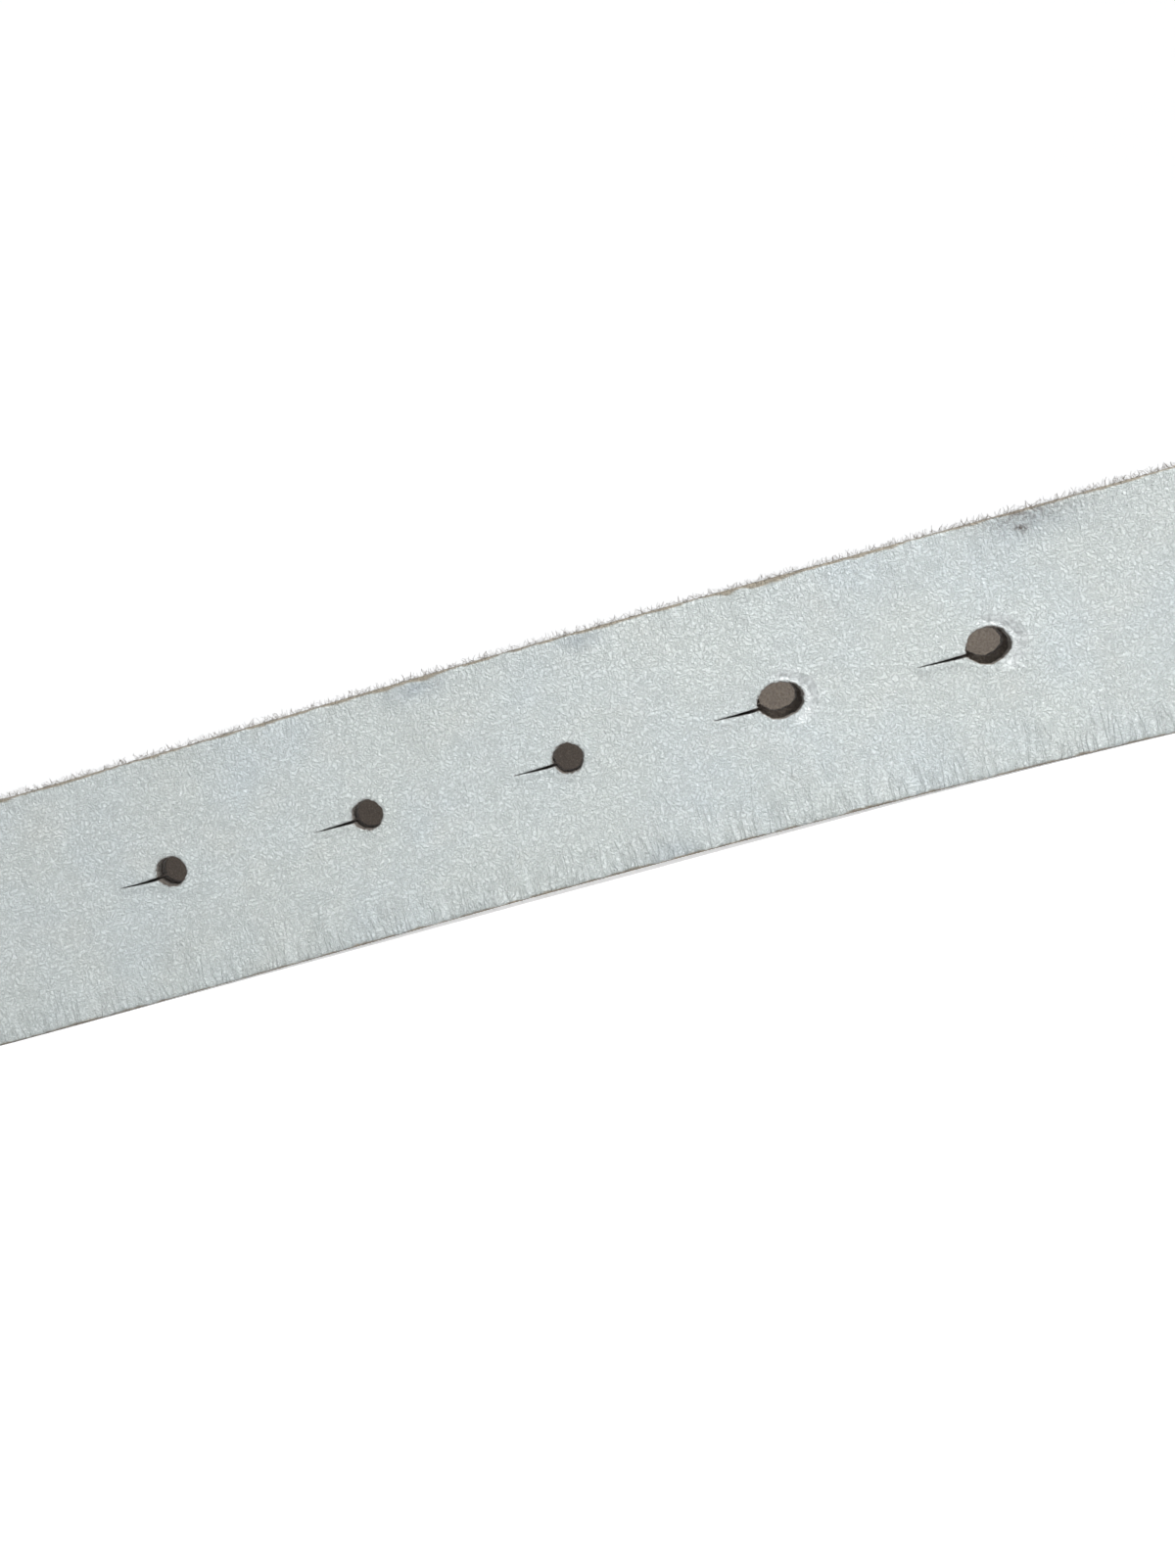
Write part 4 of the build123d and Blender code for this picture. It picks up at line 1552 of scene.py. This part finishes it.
# ---------------------------------------------------------------- keeper and metal fittings
@dataclass
class Keeper:
    """The leather loop that holds the pointed end."""

    path: StrapPath
    finishes: Finishes
    place: float = 16.0
    breadth: float = 12.0
    thickness: float = 1.4
    room: float = 9.7
    play: float = 0.3
    corner: float = 1.5

    @staticmethod
    def tree() -> bpy.types.NodeTree:
        """Sweeps a flat strip of leather round a rectangle with soft corners.

        Returns:
            The geometry tree.
        """
        kinds = (
            ("Start", "Geometry", None),
            ("Room", "Float", 0.01),
            ("Height", "Float", 0.036),
            ("Breadth", "Float", 0.012),
            ("Thickness", "Float", 0.0014),
            ("Corner", "Float", 0.0015),
            ("Leather", "Material", None),
        )
        made = (("Loop", "Geometry"),)
        tree, pen, given, result = new_tree("keeper_strip", "GeometryNodeTree", kinds, made)
        out = given.outputs
        rectangle = "GeometryNodeCurvePrimitiveQuadrilateral"
        frame_line = pen.add(rectangle, {"Width": out["Room"], "Height": out["Height"]})
        even = pen.add("GeometryNodeFilletCurve", {"Curve": frame_line.outputs[0]}, mode="POLY")
        even.inputs["Count"].default_value = 8
        pen.tree.links.new(out["Corner"], even.inputs["Radius"])
        dense = pen.add("GeometryNodeSubdivideCurve", {"Curve": even.outputs[0], "Cuts": 3})
        strip = pen.add(rectangle, {"Width": out["Thickness"], "Height": out["Breadth"]})
        soft = pen.add("GeometryNodeFilletCurve", {"Curve": strip.outputs[0]}, mode="POLY")
        soft.inputs["Radius"].default_value = 0.00035
        soft.inputs["Count"].default_value = 4
        fine = pen.add("GeometryNodeSubdivideCurve", {"Curve": soft.outputs[0], "Cuts": 2})
        sweep = {"Curve": dense.outputs[0], "Profile Curve": fine.outputs[0]}
        swept = pen.add("GeometryNodeCurveToMesh", sweep)
        dress = {"Geometry": swept.outputs[0], "Material": out["Leather"]}
        dressed = pen.add("GeometryNodeSetMaterial", dress)
        pen.tree.links.new(dressed.outputs[0], result.inputs[0])
        return tree

    def build(self) -> None:
        """Makes the loop, lays it round the strap's end and marks its worn edges."""
        sizes = {
            "Room": (self.room + self.thickness) * MM,
            "Height": (STRAP.width + 2 * self.play + self.thickness) * MM,
            "Breadth": self.breadth * MM,
            "Thickness": self.thickness * MM,
            "Corner": self.corner * MM,
            "Leather": self.finishes.coat,
        }
        start = bpy.data.meshes.new("keeper_start")
        loop = grown("keeper_leather", start, self.tree(), sizes)
        points = np.empty(len(loop.data.vertices) * 3, np.float32)
        loop.data.vertices.foreach_get("co", points)
        points = points.reshape(-1, 3) / MM
        across, up, along = points.T
        half = (self.room + self.thickness) / 2
        rise = (STRAP.width + 2 * self.play + self.thickness) / 2
        outside = np.maximum(np.abs(across) - half, np.abs(up) - rise)
        edge = self.breadth / 2 - np.abs(along)
        store(loop.data, "strap_place", np.stack([across + up, along, outside], 1) * MM)
        worn = ease(-edge, -0.55, -0.1) * np.where(outside > 0.2, 1, 0) + ease(-outside, -0.5, 0.1)
        store(loop.data, "bare", np.clip(worn, 0, 1))
        for mask in ("dirt", "stain_and_shade", "polish_and_highlight"):
            store(loop.data, mask, 0 * along)
        depth = across + self.room / 2 - self.play
        s = STRAP.end_start + self.place + along
        laid = self.path.place(s, up + STRAP.width / 2, depth)
        loop.data.vertices.foreach_set("co", laid.astype(np.float32).ravel())
        loop.data.polygons.foreach_set("use_smooth", np.ones(len(loop.data.polygons), bool))
        outwards(loop.data)
        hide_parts("keeper_loop")
        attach(loop, "keeper")
        log.info("keeper: %d faces", len(loop.data.polygons))


@dataclass
class Fittings:
    """The metal pieces, which keep their exact shapes."""

    nodes: dict
    finishes: Finishes

    def dress(self) -> None:
        """Gives each metal piece its finish."""
        nickel, steel = self.finishes.nickel, self.finishes.steel
        for name, finish in (
            ("buckle_plate", nickel),
            ("hook_stud", nickel),
            ("hinge_bar", steel),
            ("screw_posts", steel),
            ("screw_heads", steel),
            ("keeper_staple", steel),
        ):
            piece = self.nodes[name]
            if not piece.material_slots:
                piece.data.materials.append(finish)
            for slot in piece.material_slots:
                slot.material = finish
            log.info("%s dressed in %s", name, finish.name)


# ---------------------------------------------------------------- studio
@dataclass
class Studio:
    """Pale floor, soft lights and the camera."""

    camera_place: tuple = (0.0119, -0.1666, 0.0338)
    looking: tuple = (-0.0612, 0.9914, -0.1154)
    up: tuple = (0.2655, 0.1276, 0.9556)
    lens: float = 26.98

    def camera(self) -> None:
        """Places the camera."""
        ahead = Vector(self.looking).normalized()
        right = ahead.cross(Vector(self.up)).normalized()
        above = right.cross(ahead)
        data = bpy.data.cameras.new("camera")
        data.lens, data.sensor_width, data.clip_start = self.lens, 36.0, 0.005
        camera = bpy.data.objects.new("camera", data)
        turn = Matrix((right, above, -ahead)).transposed().to_4x4()
        camera.matrix_world = Matrix.Translation(self.camera_place) @ turn
        bpy.context.scene.collection.objects.link(camera)
        bpy.context.scene.camera = camera

    def floor(self) -> None:
        """A white floor that curves up into a backdrop."""
        material, pen, shader = new_material("white_card")
        shader.inputs["Base Color"].default_value = (0.9, 0.9, 0.9, 1)
        shader.inputs["Emission Color"].default_value = (1, 1, 1, 1)
        seen = pen.add("ShaderNodeLightPath").outputs["Is Camera Ray"]
        pen.tree.links.new(pen.math("MULTIPLY", seen, 0.65), shader.inputs["Emission Strength"])
        shader.inputs["Roughness"].default_value = 0.9
        shader.inputs["Specular IOR Level"].default_value = 0.1
        bend = np.linspace(0, math.pi / 2, 17)
        radius, deep, wide, tall = 1.2, 3.0, 6.0, 3.0
        y = np.concatenate([[-4.0], deep + radius * np.sin(bend), [deep + radius]])
        z = np.concatenate([[0.0], radius - radius * np.cos(bend), [radius + tall]])
        points = [(side * wide, float(a), float(b)) for side in (-1, 1) for a, b in zip(y, z)]
        count = len(y)
        faces = [(i, count + i, count + i + 1, i + 1) for i in range(count - 1)]
        mesh = bpy.data.meshes.new("floor")
        mesh.from_pydata(points, [], faces)
        mesh.polygons.foreach_set("use_smooth", [True] * len(faces))
        mesh.materials.append(material)
        floor = bpy.data.objects.new("floor", mesh)
        bpy.context.scene.collection.objects.link(floor)

    def lamp(self, name: str, place: tuple, size: float, power: float, colour: tuple) -> None:
        """A square soft light aimed at the belt's front.

        Args:
            name: The light's name.
            place: Where it stands, in metres.
            size: Its side, in metres.
            power: Its power, in watts.
            colour: Its colour.
        """
        data = bpy.data.lights.new(name, "AREA")
        data.shape, data.size, data.energy, data.color = "SQUARE", size, power, colour
        lamp = bpy.data.objects.new(name, data)
        lamp.location = place
        aim = Vector((0.0, 0.02, 0.02)) - Vector(place)
        lamp.rotation_euler = aim.to_track_quat("-Z", "Y").to_euler()
        bpy.context.scene.collection.objects.link(lamp)

    def light(self) -> None:
        """Bright surroundings and two soft lights."""
        world = bpy.data.worlds.new("surroundings")
        world.use_nodes = True
        pen, sky = Pen(world.node_tree), world.node_tree.nodes["Background"]
        sky.inputs["Color"].default_value = (0.96, 0.98, 1.0, 1)
        seen = pen.add("ShaderNodeLightPath").outputs["Is Camera Ray"]
        pen.tree.links.new(pen.span(seen, 0.0, 1.0, 0.42, 1.05), sky.inputs["Strength"])
        bpy.context.scene.world = world
        self.lamp("key", (0.42, -0.22, 0.5), 0.2, 5.7, (1.0, 1.0, 1.0))
        self.lamp("side", (-0.7, -0.3, 0.35), 0.4, 1.1, (0.97, 0.99, 1.0))

    def build(self) -> None:
        """Sets up the whole studio."""
        self.camera()
        self.floor()
        self.light()
        bpy.context.scene.view_settings.view_transform = "Standard"


def main() -> None:
    """Builds the belt round the frame."""
    logging.basicConfig(level=logging.INFO, format="%(name)s %(message)s")
    Studio().build()
    finishes = Finishes.make()
    path = StrapPath(frame["joints"])
    strap = Strap(path, finishes, FaceWear())
    strap.build()
    strap.fray()
    Keeper(path, finishes).build()
    Fittings(frame["nodes"], finishes).dress()


if __name__ == "__main__":
    main()
